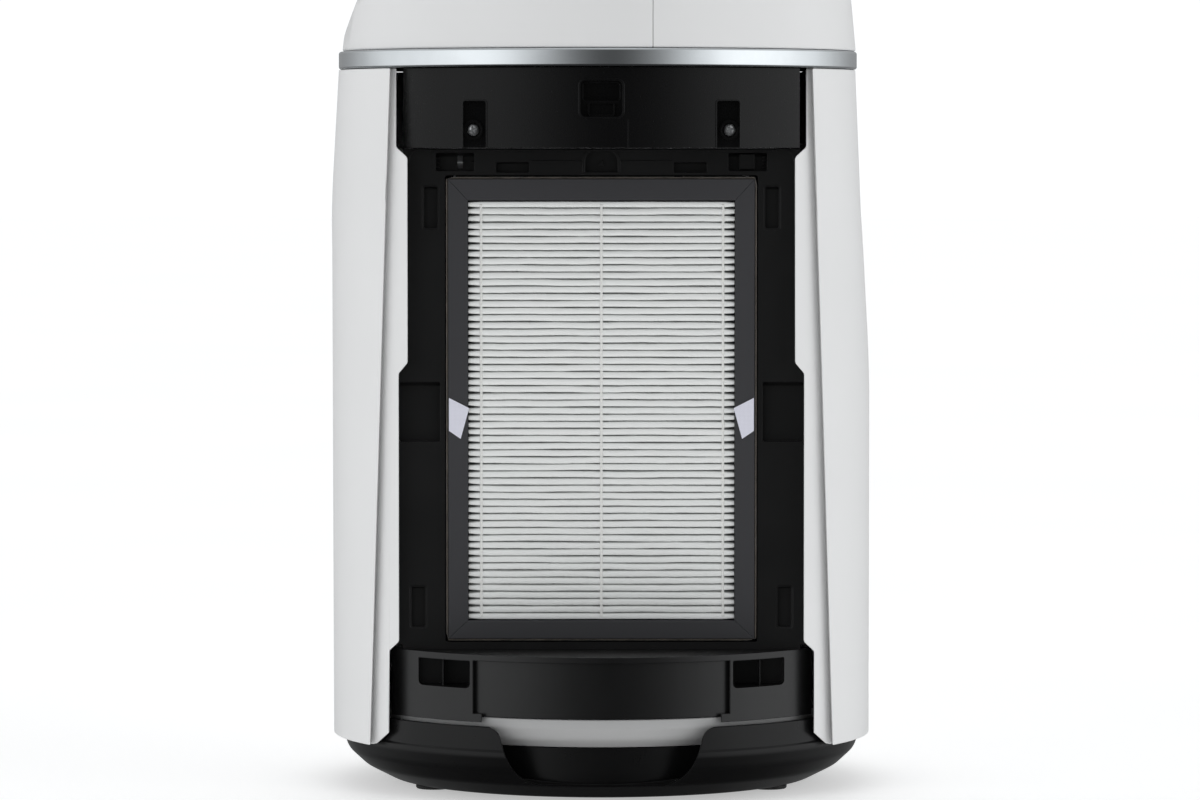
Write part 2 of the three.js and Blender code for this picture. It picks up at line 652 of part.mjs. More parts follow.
function headShell() {
  const outside = cut(headCore(0, HEAD_BOTTOM, 1), beyondFace(0));
  const inside = cut(headCore(HEAD_WALL, HEAD_BOTTOM - 10, 2), beyondFace(-HEAD_WALL));
  const hole = inOutletFrame(prism(oval(OUTLET.halfHeight, OUTLET.halfWidth), -12, 12, 18));
  const panelHole = cylinder(CONTROL.radius, 770, 800, SEGMENTS).translate([TOP_CENTRE_X, 0, 0]);
  return cut(outside, inside, hole, panelHole);
}

const HANDLE = { halfWidth: 55, low: 640, high: 672, back: 122, front: 146 };
const SENSOR = { low: 562, high: 588, y0: -60, y1: -32, face: 163 };

function headRear(shell) {
  const half = common(shell, box(HEAD_SEAM_X + GAP / 2, REACH, -REACH, REACH, 500, 800));
  const handleHole = box(100, REACH, -HANDLE.halfWidth, HANDLE.halfWidth, HANDLE.low, HANDLE.high);
  const sensorHole = box(100, REACH, SENSOR.y0, SENSOR.y1, SENSOR.low, SENSOR.high);
  return cut(half, handleHole, sensorHole);
}

function headFront(shell) {
  return common(shell, box(-REACH, HEAD_SEAM_X - GAP / 2, -REACH, REACH, 500, 800));
}

function handleCup() {
  const { halfWidth, low, high, back, front } = HANDLE;
  const wide = halfWidth - GAP;
  const outer = box(back, front, -wide, wide, low + GAP, high - GAP);
  return cut(outer, box(back + 2.4, REACH, -wide + 2.4, wide - 2.4, low + 2.7, high - 2.7));
}

function sensorCover() {
  const { low, high, y0, y1, face } = SENSOR;
  const plate = box(face - 3.5, face, y0 + GAP, y1 - GAP, low + GAP, high - GAP);
  const slits = [];
  for (let z = low + 5; z < high - 6; z += 4.6) {
    slits.push(box(face - 10, face + 5, y0 + 5, y1 - 5, z, z + 2));
  }
  return cut(plate, ...slits);
}

function dustSensor() {
  const { low, high, y0, y1, face } = SENSOR;
  const shell = box(face - 22, face - 4, y0 + 2, y1 - 2, low + 2, high - 2);
  const lens = cylinder(3.5, face - 12, face).rotate([0, 90, 0]);
  return cut(shell, lens.translate([0, (y0 + y1) / 2, (low + high) / 2]));
}

const BUTTON = { radius: 8, hole: 8.5, low: 779.2, high: 786.2, travel: 1.5, orbit: 26 };
const BUTTONS = [
  { name: "power_button", turn: 180 },
  { name: "speed_button", turn: 240 },
  { name: "mode_button", turn: 120 },
];
const buttonPlace = ({ turn }) => {
  const angle = THREE.MathUtils.degToRad(turn);
  return [TOP_CENTRE_X + BUTTON.orbit * Math.cos(angle), BUTTON.orbit * Math.sin(angle)];
};

function controlPanel() {
  const { radius, flange, low } = CONTROL;
  const flangeTop = low + 1.8;
  const face = radius - 0.4;
  const disc = revolve([
    [0, low], [flange, low], [flange, flangeTop], [face, flangeTop], [face, HEAD_TOP], [0, HEAD_TOP],
  ]).translate([TOP_CENTRE_X, 0, 0]);
  const hole = cylinder(BUTTON.hole, low - 5, HEAD_TOP + 5);
  return cut(disc, ...BUTTONS.map((spec) => hole.translate([...buttonPlace(spec), 0])));
}

function pressButton() {
  const { radius, low, high } = BUTTON;
  return revolve([[0, low], [radius, low], [radius, high - 0.8], [radius - 0.8, high], [0, high - 0.5]], 20);
}

function mainBoard() {
  const sheet = box(112, 113.6, -45, 45, 583, 633);
  const transformer = box(113, 125, -36, -18, 590, 606);
  const driver = box(113, 121, -8, 12, 590, 602);
  const processor = box(113, 119, 20, 38, 610, 626);
  const capacitor = box(113, 123, -34, -24, 612, 626);
  return join(sheet, transformer, driver, processor, capacitor);
}

function powerInlet() {
  const { halfWidth, low, high } = INLET;
  const wide = halfWidth - GAP;
  const block = box(166, 187, -wide, wide, low + GAP, high - GAP);
  const mouth = box(172, REACH, -11, 11, low + 4, high - 4);
  const pins = [-5, 5].map((y) => box(171, 183, y - 1, y + 1, 70.5, 75.5));
  return join(cut(block, mouth), ...pins);
}

// ---------------------------------------------------------------- assembly

function sideAssembly(side) {
  return group(
    piece(`${side}_filter_bay`, filterBay(), "blackSatin"),
    piece(`${side}_sill`, sill(), "blackSatin"),
    piece(`${side}_upper_panel`, upperPanel(), "blackSatin"),
    panelScrew(`${side}_panel_screw_left`, -1),
    panelScrew(`${side}_panel_screw_right`, 1),
    piece(`${side}_filter_frame`, filterFrame(), "card"),
    piece(`${side}_pleated_medium`, pleatedMedium(), "pleats"),
    piece(`${side}_filter_seal`, feltSeal(), "felt"),
    piece(`${side}_carbon_filter`, carbonFilter(), "carbon"),
    piece(`${side}_pull_tab_left`, pullTab(-1), "ribbon"),
    piece(`${side}_pull_tab_right`, pullTab(1), "ribbon"),
  );
}

function baseAssembly() {
  const feet = [
    foot("foot_front_left", -116, -62), foot("foot_front_right", -116, 62),
    foot("foot_rear_left", 116, -62), foot("foot_rear_right", 116, 62),
  ];
  return group(
    piece("base_tray", baseTray(), "blackSatin"),
    piece("lower_skirt", lowerSkirt(), "whiteGloss"),
    piece("power_inlet", powerInlet(), "blackSatin"),
    ...feet,
  );
}

function coverAssembly() {
  const catchBody = box(-9, 9, 162, 176.6, 478, 486);
  return group(
    piece("front_cover", fixedCover(-1), "whiteGloss"),
    piece("rear_cover", rearCover(), "whiteGloss"),
    piece("far_side_cover", sideCover(), "whiteGloss"),
    piece("far_cover_catch", catchBody, "blackSatin"),
  );
}

function fanAssembly() {
  return group(
    piece("fan_deck", fanDeck(), "greyPlastic"),
    piece("fan_housing", fanHousing(), "greyPlastic"),
    piece("impeller", impeller(), "greyPlastic"),
    piece("motor_shaft", motorShaft(), "motorSteel"),
    piece("fan_motor", fanMotor(), "motorSteel"),
    piece("motor_mount", motorMount(), "greyPlastic"),
    piece("outlet_duct", outletDuct(), "greyPlastic"),
    piece("head_carrier", headCarrier(), "blackSatin"),
    piece("trim_ring", trimRing(), "chrome"),
  );
}

function outletAssembly() {
  const blades = [];
  for (let i = 0; i < LOUVRE.count; i++) {
    const x = (i - (LOUVRE.count - 1) / 2) * LOUVRE.pitch;
    const blade = piece(`louvre_blade_${i + 1}`, louvreBlade(x), "blackGloss");
    blade.position.set(x, 0, LOUVRE.depth);
    blades.push(blade);
  }
  const motor = piece("louvre_motor", cylinder(8.5, 0, 8).rotate([-90, 0, 0]), "motorSteel");
  motor.position.set(0, OUTLET.halfWidth + 0.6, LOUVRE.depth);
  const made = group(
    piece("outlet_bezel", outletBezel(), "blackGloss"),
    piece("outlet_grille", outletGrille(), "blackSatin"),
    motor,
    ...blades,
  );
  made.position.copy(outletMiddle);
  made.rotation.y = outletTurn;
  return made;
}

function headAssembly() {
  const shell = headShell();
  const buttons = BUTTONS.map((spec) => {
    const button = piece(spec.name, pressButton(), "greyPlastic");
    button.position.set(...buttonPlace(spec), 0);
    return button;
  });
  return group(
    piece("head_front_casing", headFront(shell), "whiteGloss"),
    piece("head_rear_casing", headRear(shell), "whiteGloss"),
    piece("rear_handle_cup", handleCup(), "blackSatin"),
    piece("sensor_cover", sensorCover(), "whiteGloss"),
    piece("dust_sensor", dustSensor(), "blackSatin"),
    piece("control_panel", controlPanel(), "blackGloss"),
    piece("main_board", mainBoard(), "board"),
    ...buttons,
  );
}

const nearSide = sideAssembly("near");
const farSide = sideAssembly("far");
farSide.rotation.z = Math.PI;

const airPurifier = group(
  baseAssembly(), nearSide, farSide, coverAssembly(), fanAssembly(), outletAssembly(), headAssembly(),
);

export default airPurifier;
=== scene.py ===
"""Looks of a tower air purifier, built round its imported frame.

The outlet faces -X and the open filter bay faces -Y. Lengths in this file are millimetres, and each
mesh is turned into metres when its piece is finished.
"""

from __future__ import annotations

import logging
import math
import random
from dataclasses import dataclass, field
from enum import Enum
from typing import Callable, Iterable, Sequence, Union

import bmesh
import bpy
import numpy as np
from mathutils import Matrix, Vector, noise


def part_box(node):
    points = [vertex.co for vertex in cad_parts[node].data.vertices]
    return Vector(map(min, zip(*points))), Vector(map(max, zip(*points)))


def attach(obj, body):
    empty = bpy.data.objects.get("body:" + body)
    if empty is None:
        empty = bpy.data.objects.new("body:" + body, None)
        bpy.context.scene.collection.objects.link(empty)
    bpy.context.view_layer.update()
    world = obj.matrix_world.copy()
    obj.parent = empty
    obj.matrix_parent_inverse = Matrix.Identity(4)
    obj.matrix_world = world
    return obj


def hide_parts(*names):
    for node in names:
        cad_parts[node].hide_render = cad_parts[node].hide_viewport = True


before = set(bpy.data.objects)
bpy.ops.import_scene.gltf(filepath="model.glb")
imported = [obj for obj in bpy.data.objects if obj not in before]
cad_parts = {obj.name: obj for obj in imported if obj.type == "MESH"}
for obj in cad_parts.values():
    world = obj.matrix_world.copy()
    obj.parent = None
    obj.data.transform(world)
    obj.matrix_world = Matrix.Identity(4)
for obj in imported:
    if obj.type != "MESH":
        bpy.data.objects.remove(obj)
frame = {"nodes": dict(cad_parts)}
LOG = logging.getLogger("purifier")

MM = 0.001
ROUND = 192  # steps round a full turn of a large piece
FINE = 48  # steps round a full turn of a small piece
GAP = 0.3  # between pieces that touch
REACH = 260.0  # half size of a cutting block, larger than the body

Point2 = tuple[float, float]
Point3 = tuple[float, float, float]
Corner = tuple[float, float, float]


# ---------------------------------------------------------------- outlines


def rounded(corners: Sequence[Corner], steps: int = 5) -> list[Point2]:
    """Rounds the corners of a closed outline.

    Args:
        corners: each corner as (x, y, radius).
        steps: chords in each rounded corner.

    Returns:
        The outline's points.
    """
    points: list[Point2] = []
    for i, (x, y, radius) in enumerate(corners):
        here = Vector((x, y))
        if radius <= 0:
            points.append((x, y))
            continue
        before = Vector(corners[i - 1][:2]) - here
        after = Vector(corners[(i + 1) % len(corners)][:2]) - here
        half = before.angle(after) / 2
        reach = min(radius / math.tan(half), before.length * 0.49, after.length * 0.49)
        inward = (before.normalized() + after.normalized()).normalized()
        centre = here + inward * reach / math.cos(half)
        start = here + before.normalized() * reach - centre
        end = here + after.normalized() * reach - centre
        turn = start.angle_signed(end, 0.0)
        for k in range(steps + 1):
            arm = start.copy()
            arm.rotate(Matrix.Rotation(-turn * k / steps, 2))
            points.append((centre.x + arm.x, centre.y + arm.y))
    return points


def rounded_box(x0: float, x1: float, y0: float, y1: float, radius: float, steps: int = 5) -> list[Point2]:
    """A rectangle's outline with rounded corners."""
    return rounded([(x0, y0, radius), (x1, y0, radius), (x1, y1, radius), (x0, y1, radius)], steps)


def oval(half_x: float, half_y: float, steps: int = 96) -> list[Point2]:
    """An ellipse's outline about the origin."""
    turns = [2 * math.pi * k / steps for k in range(steps)]
    return [(half_x * math.cos(t), half_y * math.sin(t)) for t in turns]


def bend(start: Point2, pull: Point2, end: Point2, steps: int = 14) -> list[Point2]:
    """A curve from start to end that leaves and arrives in the direction of pull."""
    points = []
    for k in range(steps + 1):
        t = k / steps
        points.append(tuple(
            a * (1 - t) ** 2 + 2 * b * t * (1 - t) + c * t**2 for a, b, c in zip(start, pull, end)
        ))
    return points


def mirrored(points: Sequence[Point2], side: int) -> list[Point2]:
    """The same outline for side 1, and its mirror image in X for side -1."""
    return [(side * x, y) for x, y in points]


def smooth_value(xs: Sequence[float], ys: Sequence[float], x: float) -> float:
    """A value on a smooth curve through points, which never swings past them.

    Args:
        xs: rising places of the points.
        ys: values at those places.
        x: the place asked for.

    Returns:
        The curve's value at x.
    """
    x = min(max(x, xs[0]), xs[-1])
    i = min(max(int(np.searchsorted(xs, x)) - 1, 0), len(xs) - 2)
    slopes = [(ys[k + 1] - ys[k]) / (xs[k + 1] - xs[k]) for k in range(len(xs) - 1)]

    def tangent(k: int) -> float:
        """Slope at point k: the harmonic mean of its neighbours."""
        if k == 0:
            return slopes[0]
        if k == len(xs) - 1:
            return slopes[-1]
        a, b = slopes[k - 1], slopes[k]
        return 0.0 if a * b <= 0 else 2 * a * b / (a + b)

    width = xs[i + 1] - xs[i]
    t = (x - xs[i]) / width
    rise = ys[i + 1] - ys[i]
    start, end = tangent(i) * width, tangent(i + 1) * width
    return ys[i] + start * t + (3 * rise - 2 * start - end) * t**2 + (start + end - 2 * rise) * t**3


# ---------------------------------------------------------------- solids


class Step(Enum):
    """What one solid does to another."""

    JOIN = "UNION"
    CUT = "DIFFERENCE"
    KEEP = "INTERSECT"


class Plane(Enum):
    """The plane an outline is drawn in; it is extruded square to it."""

    FLAT = "XY"
    FRONT = "XZ"
    SIDE = "YZ"

    def place(self, a: float, b: float, along: float) -> Point3:
        """A point of the outline at a distance along the extrusion."""
        if self is Plane.FLAT:
            return (a, b, along)
        if self is Plane.FRONT:
            return (a, along, b)
        return (along, a, b)


class Solid:
    """A closed mesh in millimetres that others are joined to or cut from."""

    def __init__(self, mesh: bpy.types.Mesh) -> None:
        """Wraps a closed mesh."""
        self.mesh = mesh

    @classmethod
    def of(cls, points: Sequence[Point3], faces: Sequence[Sequence[int]]) -> Solid:
        """A solid from points and faces, with its faces turned outwards."""
        mesh = bpy.data.meshes.new("solid")
        mesh.from_pydata(points, [], faces)
        made = cls(mesh)
        made.edit(lambda bm: bmesh.ops.recalc_face_normals(bm, faces=bm.faces))
        return made

    @classmethod
    def prism(cls, outline: Sequence[Point2], low: float, high: float, plane: Plane = Plane.FLAT) -> Solid:
        """An outline extruded from low to high."""
        count = len(outline)
        points = [plane.place(a, b, low) for a, b in outline] + [plane.place(a, b, high) for a, b in outline]
        sides = [[k, (k + 1) % count, count + (k + 1) % count, count + k] for k in range(count)]
        return cls.of(points, [list(range(count)), list(range(count, 2 * count)), *sides])

    @classmethod
    def box(cls, x0: float, x1: float, y0: float, y1: float, z0: float, z1: float) -> Solid:
        """A block between two corners."""
        return cls.prism([(x0, y0), (x1, y0), (x1, y1), (x0, y1)], z0, z1)

    @classmethod
    def revolve(
        cls, profile: Sequence[Point2], steps: int = ROUND, lean: Callable[[float], float] | None = None
    ) -> Solid:
        """A profile of (radius, height) turned about the Z axis.

        Args:
            profile: a closed outline, or one that starts and ends on the axis.
            steps: chords in the full turn.
            lean: how far a height is shifted along X.

        Returns:
            The solid.
        """
        turns = [2 * math.pi * k / steps for k in range(steps)]
        points: list[Point3] = []
        rings: list[list[int]] = []
        for radius, z in profile:
            shift = lean(z) if lean else 0.0
            first = len(points)
            if radius < 1e-6:
                points.append((shift, 0.0, z))
                rings.append([first] * steps)
            else:
                points.extend((shift + radius * math.cos(t), radius * math.sin(t), z) for t in turns)
                rings.append(list(range(first, first + steps)))
        pairs = list(zip(rings, rings[1:]))
        if profile[0][0] > 1e-6:
            pairs.append((rings[-1], rings[0]))
        faces = []
        for low, high in pairs:
            for k in range(steps):
                n = (k + 1) % steps
                face = list(dict.fromkeys([low[k], low[n], high[n], high[k]]))
                if len(face) > 2:
                    faces.append(face)
        return cls.of(points, faces)

    @classmethod
    def rod(cls, radius: float, low: float, high: float, steps: int = FINE) -> Solid:
        """A round bar along Z."""
        return cls.revolve([(0, low), (radius, low), (radius, high), (0, high)], steps)

    def edit(self, change: Callable[[bmesh.types.BMesh], object]) -> Solid:
        """Changes the mesh in place through bmesh."""
        bm = bmesh.new()
        bm.from_mesh(self.mesh)
        change(bm)
        bm.to_mesh(self.mesh)
        bm.free()
        return self

    def moved(self, matrix: Matrix) -> Solid:
        """A copy, moved by a matrix in millimetres."""
        mesh = self.mesh.copy()
        mesh.transform(matrix)
        if matrix.determinant() < 0:
            mesh.flip_normals()
        return Solid(mesh)

    def shifted(self, x: float = 0.0, y: float = 0.0, z: float = 0.0) -> Solid:
        """A copy, moved along the axes."""
        return self.moved(Matrix.Translation((x, y, z)))

    def turned(self, degrees: float, axis: str = "Z") -> Solid:
        """A copy, turned about an axis through the origin."""
        return self.moved(Matrix.Rotation(math.radians(degrees), 4, axis))

    def both_sides(self) -> tuple[Solid, Solid]:
        """The solid and its mirror image in X."""
        return self, self.moved(Matrix.Scale(-1, 4, (1, 0, 0)))

    def _with_modifiers(self, add: Callable[[bpy.types.Object], None]) -> Solid:
        """The solid after the modifiers that add puts on it."""
        base = bpy.data.objects.new("base", self.mesh)
        bpy.context.scene.collection.objects.link(base)
        add(base)
        depsgraph = bpy.context.evaluated_depsgraph_get()
        mesh = bpy.data.meshes.new_from_object(base.evaluated_get(depsgraph))
        bpy.data.objects.remove(base)
        return Solid(mesh)

    def _combined(self, step: Step, others: Iterable[Solid]) -> Solid:
        """The solid after one boolean step with each of the others."""
        tools = []

        def add(base: bpy.types.Object) -> None:
            for other in others:
                tool = bpy.data.objects.new("tool", other.mesh)
                bpy.context.scene.collection.objects.link(tool)
                tools.append(tool)
                modifier = base.modifiers.new("step", "BOOLEAN")
                modifier.operation = step.value
                modifier.solver = "MANIFOLD"
                modifier.object = tool

        made = self._with_modifiers(add)
        for tool in tools:
            bpy.data.objects.remove(tool)
        return made

    def join(self, *others: Solid) -> Solid:
        """This solid and the others as one."""
        return self._combined(Step.JOIN, others)

    def cut(self, *others: Solid) -> Solid:
        """This solid without the others."""
        return self._combined(Step.CUT, others)

    def keep(self, *others: Solid) -> Solid:
        """What this solid shares with all the others."""
        return self._combined(Step.KEEP, others)

    def softened(self, width: float, angle: float = 28.0, steps: int = 3) -> Solid:
        """The solid with its edges rounded.

        Args:
            width: how far the rounding reaches from an edge.
            angle: edges flatter than this many degrees are left.
            steps: chords in the rounding.

        Returns:
            The rounded solid.
        """
        tidy = Solid(self.mesh.copy())

        def clean(bm: bmesh.types.BMesh) -> None:
            bmesh.ops.remove_doubles(bm, verts=bm.verts, dist=0.004)
            bmesh.ops.dissolve_degenerate(bm, dist=0.004, edges=bm.edges)
            bmesh.ops.dissolve_limit(bm, angle_limit=math.radians(0.4), verts=bm.verts, edges=bm.edges)

        tidy.edit(clean)

        def add(base: bpy.types.Object) -> None:
            bevel = base.modifiers.new("soft edge", "BEVEL")
            bevel.width = width
            bevel.segments = steps
            bevel.limit_method = "ANGLE"
            bevel.angle_limit = math.radians(angle)
            bevel.use_clamp_overlap = False
            bevel.miter_outer = "MITER_ARC"

        return tidy._with_modifiers(add)

    def shaded(self, sharp: float = 40.0) -> bpy.types.Mesh:
        """The mesh in metres, smooth but for edges sharper than an angle in degrees."""
        mesh = self.mesh.copy()
        mesh.shade_smooth()
        mesh.set_sharp_from_angle(angle=math.radians(sharp))

        def add(base: bpy.types.Object) -> None:
            weighted = base.modifiers.new("even shade", "WEIGHTED_NORMAL")
            weighted.keep_sharp = True

        made = Solid(mesh)._with_modifiers(add).mesh
        made.transform(Matrix.Scale(MM, 4))
        return made


def heap(solids: Iterable[Solid]) -> Solid:
    """Several closed meshes as one, without cutting them into each other."""
    points: list[Point3] = []
    faces: list[list[int]] = []
    for solid in solids:
        first = len(points)
        points.extend(tuple(v.co) for v in solid.mesh.vertices)
        faces.extend([first + k for k in polygon.vertices] for polygon in solid.mesh.polygons)
    return Solid.of(points, faces)


def sweep(path: Sequence[Point3], radius: float, steps: int) -> Solid:
    """A round thread along a path that runs roughly along Z.

    Args:
        path: the thread's middle line.
        radius: its radius.
        steps: chords round it.

    Returns:
        The thread, closed at both ends.
    """
    points: list[Point3] = []
    turns = [2 * math.pi * k / steps for k in range(steps)]
    for x, y, z in path:
        points.extend((x + radius * math.cos(t), y + radius * math.sin(t), z) for t in turns)
    faces = [list(range(steps)), [(len(path) - 1) * steps + k for k in range(steps)]]
    for i in range(len(path) - 1):
        for k in range(steps):
            n = (k + 1) % steps
            faces.append([i * steps + k, i * steps + n, (i + 1) * steps + n, (i + 1) * steps + k])
    return Solid.of(points, faces)


# ---------------------------------------------------------------- shader maths


class Signal:
    """A value that runs from one shader node to the next, with arithmetic."""

    def __init__(self, graph: Graph, socket: bpy.types.NodeSocket) -> None:
        """Wraps an output socket of a graph's node."""
        self.graph = graph
        self.socket = socket

    def _with(self, operation: str, first: Number, second: Number) -> Signal:
        """One Math node on two numbers."""
        return self.graph.signal(
            "ShaderNodeMath", {"operation": operation}, {0: first, 1: second}
        )

    def __add__(self, other: Number) -> Signal:
        """Sum."""
        return self._with("ADD", self, other)

    def __radd__(self, other: Number) -> Signal:
        """Sum."""
        return self._with("ADD", other, self)

    def __sub__(self, other: Number) -> Signal:
        """Difference."""
        return self._with("SUBTRACT", self, other)

    def __rsub__(self, other: Number) -> Signal:
        """Difference from a number."""
        return self._with("SUBTRACT", other, self)

    def __mul__(self, other: Number) -> Signal:
        """Product."""
        return self._with("MULTIPLY", self, other)

    def __rmul__(self, other: Number) -> Signal:
        """Product."""
        return self._with("MULTIPLY", other, self)

    def __truediv__(self, other: Number) -> Signal:
        """Quotient."""
        return self._with("DIVIDE", self, other)

    def __pow__(self, other: Number) -> Signal:
        """Power."""
        return self._with("POWER", self, other)

    def between(self, low: float, high: float) -> Signal:
        """0 below low, 1 above high, and a smooth rise between them."""
        return self.graph.signal(
            "ShaderNodeMapRange",
            {"interpolation_type": "SMOOTHSTEP"},
            {"Value": self, "From Min": low, "From Max": high},
        )


Number = Union[Signal, float]
Colour = tuple[float, float, float]


class Graph:
    """A node tree that is built by expressions."""

    def __init__(self, tree: bpy.types.NodeTree) -> None:
        """Starts from an empty tree."""
        self.tree = tree
        tree.nodes.clear()

    def node(
        self, kind: str, settings: dict[str, object] | None = None, values: dict | None = None
    ) -> bpy.types.Node:
        """Adds a node.

        Args:
            kind: the node's type.
            settings: its properties, and "stops" for a ramp's (place, colour) pairs.
            values: its inputs by name or number, each a number, a colour or a Signal.

        Returns:
            The node.
        """
        made = self.tree.nodes.new(kind)
        for key, value in (settings or {}).items():
            if key == "stops":
                stops = made.color_ramp.elements
                while len(stops) < len(value):
                    stops.new(0.5)
                for stop, (place, colour) in zip(stops, value):
                    stop.position = place
                    stop.color = (*colour, 1.0)
            else:
                setattr(made, key, value)
        for key, value in (values or {}).items():
            socket = made.inputs[key]
            if isinstance(value, Signal):
                self.tree.links.new(value.socket, socket)
            elif isinstance(value, tuple) and len(value) == 3 and socket.type == "RGBA":
                socket.default_value = (*value, 1.0)
            else:
                socket.default_value = value
        return made

    def signal(
        self,
        kind: str,
        settings: dict[str, object] | None = None,
        values: dict | None = None,
        output: int | str = 0,
    ) -> Signal:
        """Adds a node and returns one of its outputs."""
        return Signal(self, self.node(kind, settings, values).outputs[output])

    def place(self) -> Signal:
        """The place on the piece, in metres in the frame."""
        return self.signal("ShaderNodeTexCoord", output="Object")

    def stretched(self, scale: Point3) -> Signal:
        """The place, stretched along each axis."""
        return self.signal("ShaderNodeMapping", None, {"Vector": self.place(), "Scale": scale})

    def axis(self, index: int) -> Signal:
        """The place along one axis."""
        return self.signal("ShaderNodeSeparateXYZ", None, {"Vector": self.place()}, index)

    def speckle(self, size: float, detail: float = 2.0, at: Signal | None = None, rough: float = 0.5) -> Signal:
        """Noise from 0 to 1 whose lumps are about size metres across."""
        values = {
            "Vector": at or self.place(),
            "Scale": 1.0 / size,
            "Detail": detail,
            "Roughness": rough,
        }
        return self.signal("ShaderNodeTexNoise", None, values)

    def cells(self, size: float, feature: str = "F1", spread: float = 1.0) -> Signal:
        """Distance within cells that are about size metres across."""
        values = {"Vector": self.place(), "Scale": 1.0 / size, "Randomness": spread}
        return self.signal("ShaderNodeTexVoronoi", {"feature": feature}, values)

    def mix(self, amount: Number, first: Signal | Colour, second: Signal | Colour) -> Signal:
        """A colour between two others."""
        return self.signal("ShaderNodeMix", {"data_type": "RGBA"}, {0: amount, 6: first, 7: second}, 2)

    def rounded(self, width: float) -> Signal:
        """The surface normal, bent round edges as if they were rounded by width metres."""
        return self.signal("ShaderNodeBevel", {"samples": 6}, {"Radius": width})

    def edges(self, bent: Signal) -> Signal:
        """About 1 along the edges that a bent normal rounds, and 0 away from them."""
        flat = self.signal("ShaderNodeNewGeometry", output="Normal")
        aligned = self.signal("ShaderNodeVectorMath", {"operation": "DOT_PRODUCT"}, {0: bent, 1: flat}, "Value")
        return (1.0 - aligned).between(0.01, 0.12)

    def bump(self, height: Signal, depth: float, over: Signal | None = None) -> Signal:
        """A surface normal that follows a height of depth metres, over another normal if there is one."""
        values = {"Height": height, "Distance": depth}
        if over:
            values["Normal"] = over
        return self.signal("ShaderNodeBump", None, values)

    def surface(self, values: dict) -> None:
        """Ends a material with its shader."""
        shader = self.signal("ShaderNodeBsdfPrincipled", None, values)
        self.node("ShaderNodeOutputMaterial", None, {"Surface": shader})


# ---------------------------------------------------------------- finishes


@dataclass(frozen=True)
class Finish:
    """A finish of the machine: a procedural material and the record's slot that it stands for."""

    name: str
    slot: str
    colour: Colour
    rough: float

    def material(self) -> bpy.types.Material:
        """The finish as a material, made once."""
        found = bpy.data.materials.get(self.name)
        if found:
            return found
        made = bpy.data.materials.new(self.name)
        made.use_nodes = True
        self.draw(Graph(made.node_tree))
        return made

    def draw(self, graph: Graph) -> None:
        """Builds the material's nodes."""
        raise NotImplementedError


@dataclass(frozen=True)
class MouldedPlastic(Finish):
    """Injection moulded plastic with a spark-eroded grain."""

    grain: float = 0.0006
    depth: float = 0.00002
    worn: Colour = (0.5, 0.5, 0.5)
    wear: float = 0.25
    cloud: float = 0.03
    gloss_change: float = 0.06
    edge: float = 0.0007
    index: float = 1.4

    def draw(self, graph: Graph) -> None:
        """Grain, faint flow clouds, handled patches and paler edges."""
        grain = graph.speckle(self.grain, 3.0, rough=0.65)
        cloud = graph.speckle(0.09, 3.0)
        handled = graph.speckle(0.022, 5.0, rough=0.6)
        scratch = graph.speckle(0.004, 2.0, graph.stretched((9.0, 9.0, 0.35)))
        bent = graph.rounded(self.edge)
        edge = graph.edges(bent) * handled.between(0.3, 0.75)
        darker = tuple(c * (1 - self.cloud) for c in self.colour)
        lighter = tuple(min(1.0, c * (1 + self.cloud)) for c in self.colour)
        body = graph.mix(cloud.between(0.3, 0.7), darker, lighter)
        rough = self.rough + (handled - 0.5) * self.gloss_change * 2 + (scratch - 0.5) * self.gloss_change
        values = {
            "Base Color": graph.mix(edge * self.wear, body, self.worn),
            "Roughness": rough + (grain - 0.5) * 0.05 + edge * 0.08,
            "Normal": graph.bump(grain * 0.8 + cloud * 0.6, self.depth, bent),
            "IOR": self.index,
        }
        graph.surface(values)


@dataclass(frozen=True)
class PlatedTrim(Finish):
    """Satin chrome plating on plastic, with fine lines round the ring."""

    def draw(self, graph: Graph) -> None:
        """Turning lines, haze, a slightly wavy plated skin and a painted highlight that lightens every edge."""
        lines = graph.speckle(0.0004, 2.0, graph.stretched((0.03, 0.03, 1.0)))
        haze = graph.speckle(0.03, 4.0)
        wave = graph.speckle(0.05, 1.0)
        # Painted highlight: this edge mask lightens the plating's colour along every edge, in place of glints.
        edge = graph.edges(graph.rounded(0.0006))
        body = graph.mix(haze.between(0.35, 0.7), self.colour, tuple(c * 0.94 for c in self.colour))
        values = {
            "Base Color": graph.mix(edge * 0.4, body, (0.9, 0.91, 0.92)),
            "Metallic": 1.0,
            "Roughness": self.rough + (haze - 0.5) * 0.06 + (lines - 0.5) * 0.05,
            "Normal": graph.bump(lines * 0.3 + wave, 0.00003),
        }
        graph.surface(values)


@dataclass(frozen=True)
class BareMetal(Finish):
    """Zinc-plated or drawn steel, with grain across it and dull spots."""

    grain: float = 0.0005

    def draw(self, graph: Graph) -> None:
        """Crystals, drawing lines and dull spots."""
        crystals = graph.cells(self.grain * 4)
        lines = graph.speckle(self.grain, 3.0, graph.stretched((1.0, 1.0, 0.08)))
        spots = graph.speckle(0.006, 4.0)
        dull = tuple(c * 0.72 for c in self.colour)
        values = {
            "Base Color": graph.mix(spots.between(0.5, 0.75), self.colour, dull),
            "Metallic": 1.0,
            "Roughness": self.rough + crystals * 0.08 + (spots - 0.5) * 0.15,
            "Normal": graph.bump(lines + crystals, 0.00002),
        }
        graph.surface(values)


